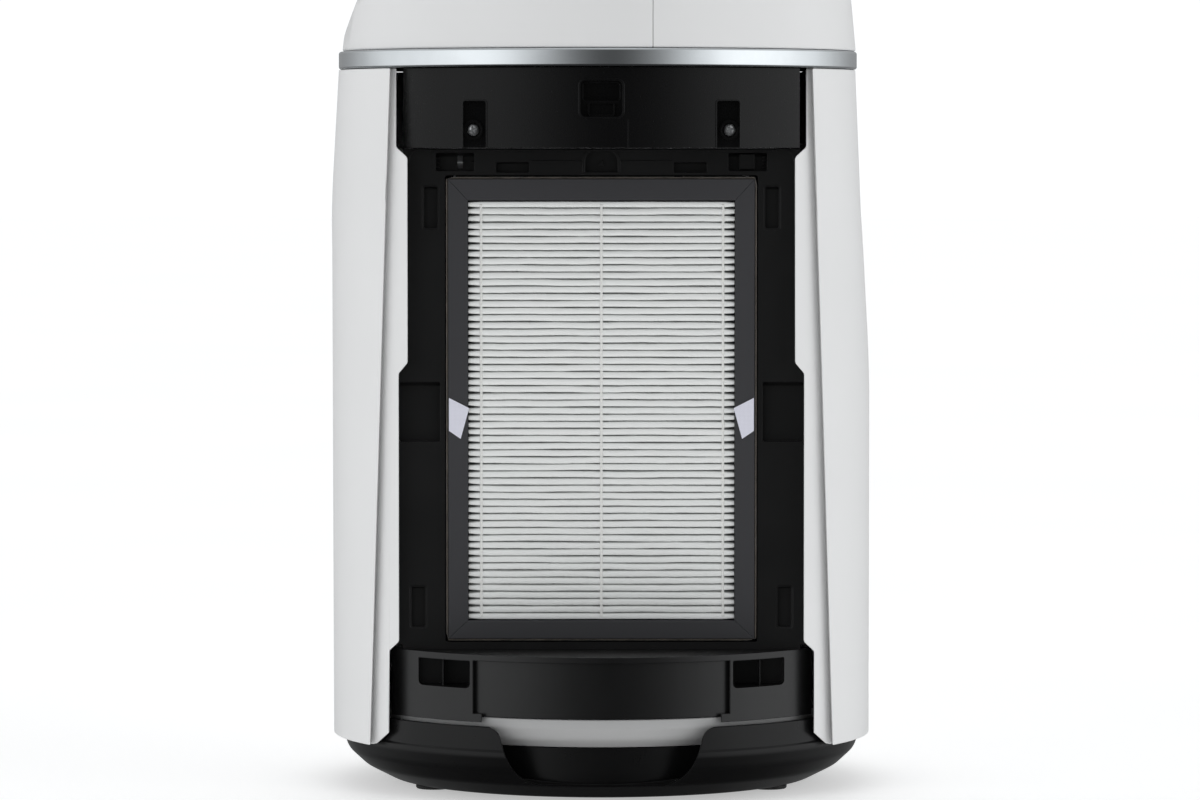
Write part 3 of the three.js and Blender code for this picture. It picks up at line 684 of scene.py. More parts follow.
@dataclass(frozen=True)
class CoatedCard(Finish):
    """Black coated card, folded into a frame."""

    def draw(self, graph: Graph) -> None:
        """Paper fibres, coating mottle and grey fold edges."""
        fibres = graph.speckle(0.0011, 6.0, graph.stretched((1.0, 1.0, 2.6)), 0.7)
        mottle = graph.speckle(0.014, 4.0)
        edge = graph.edges(graph.rounded(0.0012)) * fibres.between(0.35, 0.6)
        light = tuple(c * 1.35 for c in self.colour)
        body = graph.mix(mottle.between(0.3, 0.75), self.colour, light)
        values = {
            "Base Color": graph.mix(edge * 0.2, body, (0.12, 0.115, 0.11)),
            "Roughness": self.rough + (mottle - 0.5) * 0.2,
            "IOR": 1.2,
            "Normal": graph.bump(fibres + mottle * 0.8, 0.00009),
        }
        graph.surface(values)


@dataclass(frozen=True)
class PleatPaper(Finish):
    """White glass-fibre paper with a soft fibrous face."""

    def draw(self, graph: Graph) -> None:
        """Crossed fibres and faint cool and warm clouds."""
        across = graph.speckle(0.0007, 5.0, graph.stretched((0.45, 1.0, 1.0)), 0.7)
        tuft = graph.speckle(0.0032, 3.0)
        cloud = graph.speckle(0.05, 3.0)
        cool = (self.colour[0] * 0.965, self.colour[1] * 0.98, self.colour[2])
        body = graph.mix(cloud.between(0.35, 0.65), self.colour, cool)
        values = {
            "Base Color": graph.mix((1.0 - across.between(0.3, 0.6)) * 0.1, body, (0.6, 0.62, 0.62)),
            "Roughness": self.rough + (tuft - 0.5) * 0.1,
            "Normal": graph.bump(across * 0.7 + tuft, 0.00012),
        }
        graph.surface(values)


@dataclass(frozen=True)
class FibreFelt(Finish):
    """Brown-black needled felt."""

    def draw(self, graph: Graph) -> None:
        """Matted fibres in two browns."""
        fibres = graph.speckle(0.0006, 6.0, rough=0.75)
        patch = graph.speckle(0.008, 3.0)
        dark = tuple(c * 0.45 for c in self.colour)
        values = {
            "Base Color": graph.mix((fibres * 0.6 + patch * 0.4).between(0.36, 0.62), dark, self.colour),
            "Roughness": self.rough + (fibres - 0.5) * 0.1,
            "Sheen Weight": 0.4,
            "Normal": graph.bump(fibres, 0.0003),
        }
        graph.surface(values)


@dataclass(frozen=True)
class WovenRibbon(Finish):
    """White satin ribbon with a plain weave."""

    thread: float = 0.00045

    def draw(self, graph: Graph) -> None:
        """Warp and weft threads with a soft sheen."""
        wave = {"Scale": 1.0 / (self.thread * 6.28), "Distortion": 0.6, "Detail": 1.0}
        place = graph.place()
        warp = graph.signal(
            "ShaderNodeTexWave", {"bands_direction": "X"}, {"Vector": place, **wave}, "Fac"
        )
        weft = graph.signal(
            "ShaderNodeTexWave", {"bands_direction": "Z"}, {"Vector": place, **wave}, "Fac"
        )
        cloud = graph.speckle(0.006, 3.0)
        shade = tuple(c * 0.9 for c in self.colour)
        values = {
            "Base Color": graph.mix((warp * weft).between(0.0, 0.35), shade, self.colour),
            "Roughness": self.rough + (cloud - 0.5) * 0.15,
            "Sheen Weight": 0.3,
            "Normal": graph.bump(warp + weft, 0.00005),
        }
        graph.surface(values)


@dataclass(frozen=True)
class CarbonPellets(Finish):
    """Black pellets packed in a honeycomb."""

    def draw(self, graph: Graph) -> None:
        """Cell walls with pellets between them."""
        wall = graph.cells(0.009, "DISTANCE_TO_EDGE", 0.25).between(0.02, 0.09)
        pellet = graph.cells(0.0016)
        dust = graph.speckle(0.0005, 3.0)
        values = {
            "Base Color": graph.mix(wall, (0.11, 0.11, 0.11), self.colour),
            "Roughness": self.rough + (dust - 0.5) * 0.25,
            "Normal": graph.bump((1.0 - pellet) * wall, 0.0006),
        }
        graph.surface(values)


@dataclass(frozen=True)
class BoardLacquer(Finish):
    """A lacquered circuit board, with black parts standing on it."""

    part_height: float = 0.1139

    def draw(self, graph: Graph) -> None:
        """Copper tracks under green lacquer, and dark moulded parts above it."""
        track = graph.cells(0.004, "DISTANCE_TO_EDGE", 0.0).between(0.06, 0.12)
        grain = graph.speckle(0.0004, 2.0)
        parts = graph.axis(0).between(self.part_height, self.part_height + 0.0003)
        lacquer = graph.mix(track, (0.03, 0.32, 0.12), self.colour)
        values = {
            "Base Color": graph.mix(parts, lacquer, (0.02, 0.02, 0.022)),
            "Roughness": self.rough + parts * 0.25 + (grain - 0.5) * 0.1,
            "Normal": graph.bump(track * -1.0 + grain, 0.00004),
        }
        graph.surface(values)


@dataclass(frozen=True)
class SoftRubber(Finish):
    """Matt black rubber with dust in its pores."""

    def draw(self, graph: Graph) -> None:
        """Pores, dust and a dull face."""
        pores = graph.cells(0.0009)
        dust = graph.speckle(0.004, 5.0)
        values = {
            "Base Color": graph.mix(dust.between(0.5, 0.8), self.colour, (0.07, 0.068, 0.065)),
            "Roughness": self.rough + (dust - 0.5) * 0.15,
            "Normal": graph.bump(pores + dust, 0.00006),
        }
        graph.surface(values)


WHITE = MouldedPlastic("white_cover", "white_plastic", (0.82, 0.82, 0.82), 0.36, worn=(0.74, 0.74, 0.73),
                       cloud=0.008, wear=0.3, depth=0.000012, gloss_change=0.05)
# Painted shade: the skirt is the covers' white plastic, with its colour darkened to 0.44 to stand in for the
# shade it sits in under the body.
SHADED_SKIRT_WHITE = MouldedPlastic("white_skirt_painted_shade", "white_plastic", (0.44, 0.44, 0.44), 0.42, worn=(0.7, 0.7, 0.69),
                             cloud=0.01, wear=0.2, depth=0.000015)
BLACK = MouldedPlastic("black_moulding", "black_plastic", (0.0045, 0.0045, 0.0047), 0.34,
                       worn=(0.022, 0.022, 0.023), grain=0.0007, depth=0.00003, cloud=0.14, wear=0.6,
                       index=1.45)
PANEL_BLACK = MouldedPlastic("black_panel", "black_plastic", (0.0035, 0.0035, 0.0037), 0.27,
                             worn=(0.022, 0.022, 0.023), grain=0.0008, depth=0.000016, cloud=0.12, wear=0.55,
                             index=1.25)
BAY_BLACK = MouldedPlastic("black_bay", "black_plastic", (0.0062, 0.0062, 0.0064), 0.42,
                           worn=(0.016, 0.016, 0.017), grain=0.0006, depth=0.00004, cloud=0.16, wear=0.55)
BASE_BLACK = MouldedPlastic("black_base", "black_plastic", (0.0050, 0.0050, 0.0052), 0.30,
                            worn=(0.02, 0.02, 0.021), grain=0.0009, depth=0.00002, cloud=0.12, wear=0.5,
                            index=1.28)
GLOSS = MouldedPlastic("gloss_black", "gloss_black", (0.0065, 0.0065, 0.007), 0.09, worn=(0.03, 0.03, 0.032),
                       grain=0.0015, depth=0.000004, cloud=0.1, wear=0.35, gloss_change=0.03)
GREY = MouldedPlastic("grey_moulding", "grey_plastic", (0.19, 0.195, 0.2), 0.5, worn=(0.3, 0.3, 0.3),
                      grain=0.0006, depth=0.00004, cloud=0.06, wear=0.4)
KEY_GREY = MouldedPlastic("key_grey", "grey_plastic", (0.12, 0.122, 0.126), 0.38, worn=(0.2, 0.2, 0.2),
                          grain=0.0004, depth=0.00002, cloud=0.05, wear=0.4)
MARK_WHITE = MouldedPlastic("mark_white", "white_plastic", (0.72, 0.73, 0.74), 0.5, worn=(0.5, 0.5, 0.5),
                            grain=0.0003, depth=0.00001)
GLUE = MouldedPlastic("glue_bead", "pleat_paper", (0.80, 0.80, 0.78), 0.36, worn=(0.8, 0.8, 0.78),
                      grain=0.0012, depth=0.00008, cloud=0.03, wear=0.0)
CHROME = PlatedTrim("plated_ring", "chrome_trim", (0.66, 0.69, 0.71), 0.20)
ZINC = BareMetal("zinc_screw", "zinc_screw", (0.78, 0.80, 0.82), 0.3)
STEEL = BareMetal("drawn_steel", "motor_steel", (0.46, 0.47, 0.48), 0.33)
CARD = CoatedCard("filter_card", "filter_card", (0.0045, 0.0045, 0.0048), 0.66)
PAPER = PleatPaper("pleat_paper", "pleat_paper", (0.84, 0.85, 0.845), 0.85)
FELT = FibreFelt("brown_felt", "felt_strip", (0.17, 0.145, 0.12), 0.95)
RIBBON = WovenRibbon("tab_ribbon", "ribbon", (0.80, 0.80, 0.90), 0.55)
CARBON = CarbonPellets("carbon_pellets", "carbon_mat", (0.013, 0.013, 0.013), 0.8)
BOARD = BoardLacquer("board_lacquer", "circuit_board", (0.02, 0.14, 0.06), 0.35)
RUBBER = SoftRubber("foot_rubber", "rubber_pad", (0.018, 0.018, 0.018), 0.8)


# ---------------------------------------------------------------- workshop


def span(node: str) -> tuple[Vector, Vector]:
    """Lowest and highest corner of a CAD node, in millimetres."""
    low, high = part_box(node)
    return low / MM, high / MM


@dataclass
class Workshop:
    """Turns solids into the machine's named pieces and dresses what the frame already has."""

    made: list[str] = field(default_factory=list)

    def mesh_piece(
        self,
        name: str,
        mesh: bpy.types.Mesh,
        finish: Finish,
        body: str = "housing",
        stands_for: Sequence[str] = (),
    ) -> bpy.types.Object:
        """Names, dresses and fixes a finished mesh.

        Args:
            name: the piece's name.
            mesh: its mesh, in metres in the frame.
            finish: its finish.
            body: the body it moves with.
            stands_for: the frame's nodes that it takes the place of.

        Returns:
            The piece.
        """
        mesh.name = name
        mesh.materials.clear()
        mesh.materials.append(finish.material())
        made = bpy.data.objects.new(name, mesh)
        bpy.context.scene.collection.objects.link(made)
        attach(made, body)
        if stands_for:
            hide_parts(*stands_for)
        self.made.append(name)
        LOG.info("%s: %d faces", name, len(mesh.polygons))
        return made

    def piece(
        self,
        name: str,
        solid: Solid,
        finish: Finish,
        body: str = "housing",
        stands_for: Sequence[str] | None = None,
        soft: float = 0.4,
        angle: float = 28.0,
        steps: int = 3,
    ) -> bpy.types.Object:
        """Rounds a solid's edges and makes it a piece.

        Args:
            name: the piece's name, and the node's where stands_for is left out.
            solid: the shape.
            finish: its finish.
            body: the body it moves with.
            stands_for: the frame's nodes that it takes the place of.
            soft: width of its rounded edges.
            angle: edges flatter than this many degrees stay as they are.
            steps: chords in a rounded edge.

        Returns:
            The piece.
        """
        nodes = [name] if stands_for is None else stands_for
        shape = solid.softened(soft, angle, steps) if soft > 0 else solid
        return self.mesh_piece(name, shape.shaded(), finish, body, nodes)

    def dress(self, node: str, finish: Finish, soft: float = 0.3) -> None:
        """Gives a node of the frame its finish and softer edges, and leaves its mesh alone."""
        made = frame["nodes"][node]
        made.data.materials.clear()
        made.data.materials.append(finish.material())
        made.data.shade_smooth()
        bevel = made.modifiers.new("soft edge", "BEVEL")
        bevel.width = soft * MM
        bevel.segments = 2
        bevel.limit_method = "ANGLE"
        bevel.angle_limit = math.radians(32)
        bevel.harden_normals = True
        LOG.info("%s: dressed", node)


# ---------------------------------------------------------------- body shell


@dataclass
class BodyShape:
    """The round body's outside, which leans a little towards the outlet as it rises."""

    heights: tuple[float, ...] = (34, 266, 365, 407, 450, 497.5)
    radii: tuple[float, ...] = (188, 188, 186.2, 185, 183, 180.7)
    leans: tuple[float, ...] = (0, 0, -2.3, -3.6, -3.4, -3)
    seam_top: float = 143.6
    seam_bottom: float = 158.6

    def radius(self, z: float) -> float:
        """Radius of the outside at a height."""
        return smooth_value(self.heights, self.radii, z)

    def lean(self, z: float) -> float:
        """Shift of the ring along X at a height."""
        return smooth_value(self.heights, self.leans, z)

    def band(self, outer: float, inner: float, low: float, high: float) -> Solid:
        """The shell between two depths under the outside and two heights."""
        steps = max(2, round((high - low) / 14))
        zs = [low + (high - low) * k / steps for k in range(steps + 1)]
        outside = [(self.radius(z) - outer, z) for z in zs]
        inside = [(self.radius(z) - inner, z) for z in reversed(zs)]
        return Solid.revolve(outside + inside, ROUND, self.lean)

    def seam(self, z: float) -> float:
        """Distance of the seam line from the middle plane at a height."""
        share = (self.heights[-1] - z) / (self.heights[-1] - self.heights[0])
        return self.seam_top + (self.seam_bottom - self.seam_top) * share

    def beyond_seam(self, side: int, shift: float) -> Solid:
        """All that lies outside one seam line, moved out by shift."""
        low, high = self.heights[0] - 10, self.heights[-1] + 10
        line = [(self.seam(low) + shift, low), (REACH, low), (REACH, high), (self.seam(high) + shift, high)]
        return Solid.prism(mirrored(line, side), -REACH, REACH, Plane.FRONT)


@dataclass
class Covers:
    """The two fixed covers and the side cover that is still fitted."""

    shop: Workshop
    shape: BodyShape = field(default_factory=BodyShape)
    wall: float = 3.0
    landing_depth: float = 5.0
    landing_wall: float = 2.0
    step_width: float = 2.6
    socket: Corner = (14.5, 62.0, 84.0)  # half width, low and high of the mains inlet's hole
    slot_rows: int = 9
    slot_pitch: float = 35.0

    def fixed(self, side: int) -> Solid:
        """A fixed cover: its outside, the step at each seam, and the landing under the side cover's edge."""
        low, high = self.shape.heights[0], self.shape.heights[-1]
        deep = self.landing_depth + self.landing_wall
        beyond = self.shape.beyond_seam(side, 0)
        past_step = self.shape.beyond_seam(side, self.step_width)
        outside = self.shape.band(0, self.wall, low, high).keep(beyond)
        step = self.shape.band(0, deep, low, high).keep(beyond.cut(past_step))
        inner = rounded([
            (172, low - 5, 0), (154, low + 1, 3), (148, low + 7, 3), (145, low + 10, 3), (145, 100, 4),
            (138, 107, 4), (138, 290, 3.4), (131.6, 297.5, 4), (131.6, 437, 4), (139.6, 444, 3),
            (139.6, high + 5, 0), (172, high + 5, 0),
        ])
        area = Solid.prism(mirrored(inner, side), -REACH, REACH, Plane.FRONT)
        landing = self.shape.band(self.landing_depth, deep, low, high).cut(past_step).keep(area)
        return outside.join(step, landing)

    def side(self) -> Solid:
        """The side cover: the shell between the seams, with two columns of slots and two hooks."""
        low, high = span("far_side_cover")[0].z, self.shape.heights[-1]
        shell = self.shape.band(0, self.wall, low, high)
        shell = shell.keep(Solid.box(-REACH, REACH, 0, REACH, 0, 600))
        shell = shell.cut(self.shape.beyond_seam(1, -0.8), self.shape.beyond_seam(-1, -0.8))
        cuts = []
        for row in range(self.slot_rows):
            z = 112 + row * self.slot_pitch
            mouth = Solid.prism(rounded_box(66, 122, z, z + 12, 5.9, 8), 60, REACH, Plane.FRONT)
            cuts.extend(mouth.both_sides())
        hooks = [
            Solid.rod(186.5, 70, 100, ROUND).keep(hook)
            for hook in Solid.box(92, 101, 134, 200, 81, 91).both_sides()
        ]
        return shell.cut(*cuts).join(*hooks)

    def build(self) -> None:
        """Makes the covers and the catch."""
        half_width, low, high = self.socket
        hole = Solid.prism(rounded_box(-half_width, half_width, low, high, 3), 150, REACH, Plane.SIDE)
        self.shop.piece("front_cover", self.fixed(-1), WHITE, soft=0.7)
        self.shop.piece("rear_cover", self.fixed(1).cut(hole), WHITE, soft=0.7)
        self.shop.piece("far_side_cover", self.side(), WHITE, body="far_cover", soft=0.7)
        near, far = span("far_cover_catch")
        profile = rounded([
            (near.y, near.z, 0.8), (far.y, near.z, 0.8), (far.y, far.z, 1.2),
            (near.y + 5, far.z, 1.0), (near.y + 4, far.z - 3, 1.0), (near.y, far.z - 3.4, 1.2),
        ])
        catch = Solid.prism(profile, near.x, far.x, Plane.SIDE)
        self.shop.piece("far_cover_catch", catch, BLACK, body="far_cover", soft=0.5)


# ---------------------------------------------------------------- base


@dataclass
class Base:
    """The bowl-shaped base tray, the white skirt above it, the feet and the mains inlet."""

    shop: Workshop
    well_radius: float = 153.0
    well_top: float = 38.0
    rim_top: float = 53.0
    notch_floor: float = 12.8

    def notch(self) -> Solid:
        """The finger notch under a side cover."""
        shoulder = bend((-78, self.rim_top + 0.4), (-68, self.rim_top - 1.5), (-67.5, self.rim_top - 11))
        side = bend((-67, 41), (-60, self.notch_floor + 1.5), (-39, self.notch_floor))
        left = [(-78.0, self.rim_top + 9), *shoulder, *side]
        outline = [*left, *reversed(mirrored(left, -1))]
        return Solid.prism(outline, -REACH, -self.well_radius - 1.5, Plane.FRONT)

    def tray(self) -> Solid:
        """The bowl, its well wall, the side walls of each notch and the notches."""
        outside = rounded([
            (0, 3, 0), (146, 3, 14), (166, 13.2, 22), (177.6, 24, 14), (180.9, 33, 6), (180.6, 36.2, 1.6),
            (179.2, 37.6, 1.2), (178.4, self.rim_top, 1.2), (175.4, self.rim_top, 0.8), (175.4, 31, 8),
            (168, 19.6, 10), (self.well_radius, 12.6, 0), (self.well_radius, self.well_top, 0.6),
            (150, self.well_top, 0.6), (150, 6.5, 3), (0, 6.5, 0),
        ])
        profile = [point for point in outside]
        bowl = Solid.revolve(profile, ROUND)
        moat = Solid.revolve([(151, 11), (177, 28), (177, 44), (151, 37)], ROUND)
        walls = []
        for x in (-70.0, 70.0):
            wall = Solid.box(x - 1.2, x + 1.2, -176, -134, 10, 44)
            walls.extend([wall.keep(moat), wall.turned(180).keep(moat)])
        cut = self.notch()
        return bowl.join(*walls).cut(cut, cut.turned(180))

    def skirt(self) -> Solid:
        """The funnel that carries air past the filters, with its deck."""
        deck = span("lower_skirt")[1].z
        return Solid.revolve(rounded([
            (0, 56, 0), (168, 56, 0.6), (168, 52.5, 5), (159, 44.6, 12), (151, 41.2, 0), (151, 38.4, 0.6),
            (154, 38.4, 0.6), (166, 44.6, 12), (170.5, 52, 5), (170.5, deck, 0.8), (0, deck, 0),
        ]), ROUND)

    def foot(self, name: str) -> None:
        """A round rubber pad whose underside is hollowed slightly in the middle."""
        low, high = span(name)
        centre = (low + high) / 2
        radius = (high.x - low.x) / 2
        profile = rounded([
            (0, 0.5, 0), (radius * 0.4, 0.5, 0.2), (radius * 0.45, 0, 0.3), (radius - 0.8, 0, 0.6),
            (radius, 1.0, 0.5), (radius, high.z, 0.3), (0, high.z, 0),
        ])
        self.shop.piece(name, Solid.revolve(profile, FINE).shifted(centre.x, centre.y), RUBBER, soft=0)

    def inlet(self) -> Solid:
        """The mains inlet: a rounded socket with two pins."""
        low, high = span("power_inlet")
        block = Solid.prism(rounded_box(low.y, high.y, low.z, high.z, 2.6), low.x, high.x, Plane.SIDE)
        half = 11.0
        mouth = Solid.prism(rounded_box(-half, half, low.z + 3.7, high.z - 3.7, 5.5, 8), 172, REACH, Plane.SIDE)
        middle = (low.z + high.z) / 2
        pins = [Solid.rod(1.25, 0, 12, 20).turned(90, "Y").shifted(171, y, middle) for y in (-5.0, 5.0)]
        return block.cut(mouth).join(*pins)

    def build(self) -> None:
        """Makes the base."""
        self.shop.piece("base_tray", self.tray(), BASE_BLACK, soft=0)
        # The skirt's white carries painted shade: its colour is darkened for the shade under the body.
        self.shop.piece("lower_skirt", self.skirt(), SHADED_SKIRT_WHITE, soft=0)
        self.shop.piece("power_inlet", self.inlet(), BLACK, soft=0.35)
        for end in ("front", "rear"):
            for hand in ("left", "right"):
                self.foot(f"foot_{end}_{hand}")


# ---------------------------------------------------------------- filter side


@dataclass
class FilterSide:
    """The black mouldings round one filter. They are drawn for -Y and turned half round for +Y."""

    shop: Workshop
    side: str
    wall: float = 2.5
    fascia_radius: float = 175.0
    sill_high: float = 101.0
    sill_low: float = 59.0
    block_inner: float = 87.0
    tip: float = 136.3
    screw_x: float = 86.5
    screw_z: float = 455.4
    screw_seat: float = -142.2
    panel_half: float = 135.0

    def __post_init__(self) -> None:
        """Reads the bay's plane, top and bottom from the frame."""
        low, high = span("near_filter_bay")
        self.face = low.y
        self.low = low.z
        self.top = high.z
        self.panel_low = span("near_upper_panel")[0].z
        self.panel_high = span("near_upper_panel")[1].z

    def make(self, name: str, solid: Solid, finish: Finish, soft: float, extra: bool = False) -> None:
        """Makes a piece of this side, turned half round on the far side."""
        shape = solid.turned(180) if self.side == "far" else solid
        full = f"{self.side}_{name}"
        self.shop.piece(full, shape, finish, stands_for=[] if extra else [full], soft=soft)

    def pocket(
        self, x0: float, x1: float, z0: float, z1: float, depth: float, radius: float = 1.4,
    ) -> tuple[Solid, Solid]:
        """A blind pocket in the plate: its backing and its hollow, whose top is coved."""
        back = self.face + depth
        backing = Solid.box(x0 - 1.8, x1 + 1.8, self.face + 0.5, back + 1.8, z0 - 1.8, z1 + 1.8)
        outline = rounded_box(x0, x1, z0, z1, radius, 4)
        hollow = Solid.prism(outline, self.face - 5, back, Plane.FRONT)
        cove = rounded([
            (self.face - 6, z0 - 1, 0), (back + 1, z0 - 1, 0), (back + 1, z1 + 0.5, depth * 0.95),
            (self.face - 6, z1 + 0.5, 0),
        ], 8)
        return backing, hollow.keep(Solid.prism(cove, x0 - 1, x1 + 1, Plane.SIDE))

    def bay(self) -> Solid:
        """The plate with its pockets, and the tunnel that holds the filter."""
        face = self.face
        edge = [
            (136, self.low, 0), (136, 104, 0), (141, 104, 0), (141, 290, 3), (135, 300, 3), (135, self.top, 0),
        ]
        outline = rounded(edge + [(-x, z, r) for x, z, r in reversed(edge)])
        plate = Solid.prism(outline, face, face + self.wall, Plane.FRONT)
        half, floor, top, back = 106.6, 105.8, 424.6, -57.5
        wide = half + self.wall
        outer = Solid.box(-wide, wide, face + 1, back, floor - self.wall, top + self.wall)
        hole = Solid.prism(rounded_box(-half, half, floor, top, 1.5), face - 5, back + 5, Plane.FRONT)
        bars = [Solid.box(x - 2, x + 2, back - 2.5, back, floor - 1, top + 1) for x in (-54, 54)]
        for k in range(1, 4):
            z = floor + k * (top - floor) / 4
            bars.append(Solid.box(-half - 1, half + 1, back - 2.5, back, z - 2, z + 2))
        sizes = [
            (86.5, 113, 427.6, 440, 9), (49, 72, 426.6, 433.5, 7), (111.6, 121.2, 388.5, 416.9, 6),
            (120.4, 130, 116, 143.5, 5), (110, 138.4, 242.8, 283.5, 7),
        ]
        backings, hollows, rims = [], [], []
        for x0, x1, z0, z1, depth in sizes:
            for low, high in ((x0, x1), (-x1, -x0)):
                backing, hollow = self.pocket(low, high, z0, z1, depth)
                backings.append(backing)
                hollows.append(hollow)
                rim = rounded_box(low - 1, high + 1, z0 - 1, z1 + 1, 2.2, 4)
                if high - low < 12:
                    rims.append(Solid.prism(rim, face - 1, face + 0.45, Plane.FRONT))
        arch = rounded([(-11.2, 426.9, 0), (11.2, 426.9, 0), (11.2, 441.2, 9.6), (-11.2, 441.2, 9.6)], 10)
        brow = rounded([(-12.9, 426.9, 0), (12.9, 426.9, 0), (12.9, 442.4, 10.6), (-12.9, 442.4, 10.6)], 10)
        arch_back = Solid.box(-13, 13, face + 0.5, face + 6.8, 425, self.top)
        arch_rim = Solid.prism(brow, face - 0.8, face + 1, Plane.FRONT)
        arch_hollow = Solid.prism(arch, face - 5, face + 5, Plane.FRONT)
        mark = Solid.prism(rounded([(-2.2, 430.6, 0.5), (2.2, 430.6, 0.5), (0.6, 435.8, 0.5)]),
                           face + 3.6, face + 5.5, Plane.FRONT)
        ledges = Solid.box(13.2, 48, face - 0.5, face + 1, 433.9, 434.7).both_sides()
        lip = Solid.box(-119.5, 118, face - 1.3, face + 1, 440.9, 442.2)
        stops = Solid.box(116.5, 119.5, face - 1.8, face + 1, 440.4, 442.4).both_sides()
        strake = [(133.0, 303), (133.0, 424), (132.2, 432), (130.2, 438), (127, 441.6)]
        inner_edge = [(x, z, 5) for x, z in strake]
        outer_edge = [(x + 0.9, z + 0.2, 5) for x, z in reversed(strake)]
        strake_outline = rounded(inner_edge + outer_edge)
        strakes = Solid.prism(strake_outline, face - 0.9, face + 1, Plane.FRONT).both_sides()
        body = plate.join(outer, *backings, arch_back, arch_rim, lip, *stops, *ledges, *strakes)
        body = body.cut(hole, *hollows, *rims, arch_hollow)
        return body.join(*bars, mark, *self.pocket_ribs())

    def pocket_ribs(self) -> list[Solid]:
        """The small teeth and the boss inside the two upper pockets."""
        face = self.face
        ribs = [Solid.box(-113.2, -110.4, face + 3, face + 9.2, z, z + 0.8) for z in (430, 433, 436)]
        ribs += [Solid.box(110.2, 113.2, face + 2, face + 9.2, z, z + 0.7) for z in (429.6, 432, 434.4, 436.8)]
        ribs.append(Solid.box(-89.6, -86.3, face + 2.5, face + 9.2, 433.2, 434))
        ribs.append(Solid.box(94.2, 104.4, face + 3.5, face + 9.2, 428.8, 439))
        ribs.append(Solid.box(86.3, 89.4, face + 3, face + 9.2, 431.6, 432.4))
        return ribs

    def contact(self) -> Solid:
        """The bent metal leaf in the left upper pocket that feels whether a filter is in."""
        face = self.face
        profile = rounded([
            (face + 8.9, 429.2, 0), (face + 8.9, 430.2, 0.4), (face + 4.1, 433.2, 1.0),
            (face + 8.9, 437.2, 0.4), (face + 8.9, 438.2, 0), (face + 3.4, 433.3, 1.2),
        ], 4)
        return Solid.prism(profile, -98.2, -94.6, Plane.SIDE)

    def sill(self) -> Solid:
        """The curved sill: a ledge, a set-back middle and two end blocks with a pocket each."""
        low, high, half, lip, recess = self.sill_low, self.sill_high, 144.0, 4.0, 3.5
        back = self.face - GAP
        foot = span("near_sill")[0].z

        def within(radius: float, z0: float, z1: float) -> Solid:
            return Solid.rod(radius, z0, z1, ROUND)

        reach = Solid.box(-half, half, -REACH, back, 0, 200).join(
            *Solid.box(self.tip, half, -REACH, -96, 0, 200).both_sides())
        ledge = within(self.fascia_radius, high - lip, high).keep(reach)
        inner_face = self.fascia_radius - recess
        shell = within(inner_face, low, high).cut(within(inner_face - 2.6, low - 1, high - lip))
        middle = Solid.box(-self.block_inner - 1, self.block_inner + 1, -REACH, -140, 0, 200)
        ends = Solid.box(self.block_inner, half, -REACH, 0, 0, 200).both_sides()
        blocks = [within(self.fascia_radius, low, high).keep(reach, end) for end in ends]
        ring = within(self.fascia_radius, foot, low + 2).cut(within(171.4, 0, low + GAP))
        feet = [ring.keep(reach, end) for end in Solid.box(81, half, -REACH, 0, 0, 200).both_sides()]
        outline = rounded([(89, 78, 3), (124.5, 78, 3), (124.5, 96.6, 0.8), (89, 96.6, 0.8)])
        mouth = Solid.prism(outline, -REACH, -112, Plane.FRONT).both_sides()
        ribs = Solid.box(107.1, 108.1, -129, -111, 77, 97).both_sides()
        beside = self.block_inner - 3.2
        grooves = Solid.box(beside, beside + 1.0, -REACH, -150, low - 1, high - lip - 1)
        body = ledge.join(shell.keep(middle), *blocks, *feet).cut(*mouth)
        thin = within(inner_face + 1, low - 2, high).cut(within(inner_face - 0.5, low - 3, high + 1))
        return body.join(*ribs).cut(*(groove.keep(thin) for groove in grooves.both_sides()))

    def panel(self) -> Solid:
        """The curved upper panel with the latch socket and the two screw recesses."""
        low, high, half, radius = self.panel_low, self.panel_high, self.panel_half, self.fascia_radius
        inside = Solid.rod(radius, low, high, ROUND)
        front = inside.cut(Solid.rod(radius - 3, low - 1, high + 1, ROUND))
        skin = front.keep(Solid.box(-half, half, -REACH, -90, low, high))
        returns = [inside.keep(end) for end in Solid.box(half - 2.4, half, -REACH, -98, low, high).both_sides()]
        shelf = Solid.rod(radius - 1, low, low + 2, ROUND).keep(Solid.box(-half, half, -REACH, -138, 0, 600))
        screw_blocks = Solid.box(75.7, 95.2, -REACH, -139, low, 477.2).both_sides()
        socket_block = Solid.box(-16.4, 16.4, -REACH, -158, 461.8, 490.8)
        liners = [inside.keep(block) for block in (*screw_blocks, socket_block)]
        slot = rounded([(77.7, low - 5, 0), (93.2, low - 5, 0), (93.2, 475, 1.6), (77.7, 475, 1.6)])
        recess = Solid.prism(slot, -REACH, -141, Plane.FRONT)
        socket = Solid.prism(rounded_box(-14.4, 14.4, 464, 488.6, 4), -REACH, -166, Plane.FRONT)
        deep = Solid.prism(rounded_box(-12.4, 12.4, 475, 487, 2), -170, -160, Plane.FRONT)
        teeth = [Solid.box(x - 0.5, x + 0.5, -168, -165, 465, 473) for x in (-8.6, 8.6)]
        step = Solid.prism(rounded_box(-9.5, 9.5, 465.4, 472.8, 1), -166.5, -163.6, Plane.FRONT)
        body = skin.join(*returns, shelf, *liners).cut(*recess.both_sides(), socket, deep, step).join(*teeth)
        rims = self.rims(socket_low=464, socket_high=488.6)
        body = body.join(*rims)
        for x in (-self.screw_x, self.screw_x):
            ring = Solid.revolve([(5.3, 0), (6.9, 0), (6.9, 1.6), (5.3, 1.6)], FINE)
            body = body.join(self.on_screw(Solid.rod(6.4, -3.4, 0), x), self.on_screw(ring.shifted(z=-0.4), x))
            body = body.cut(self.on_screw(Solid.rod(2.2, -20, 20, 24), x))
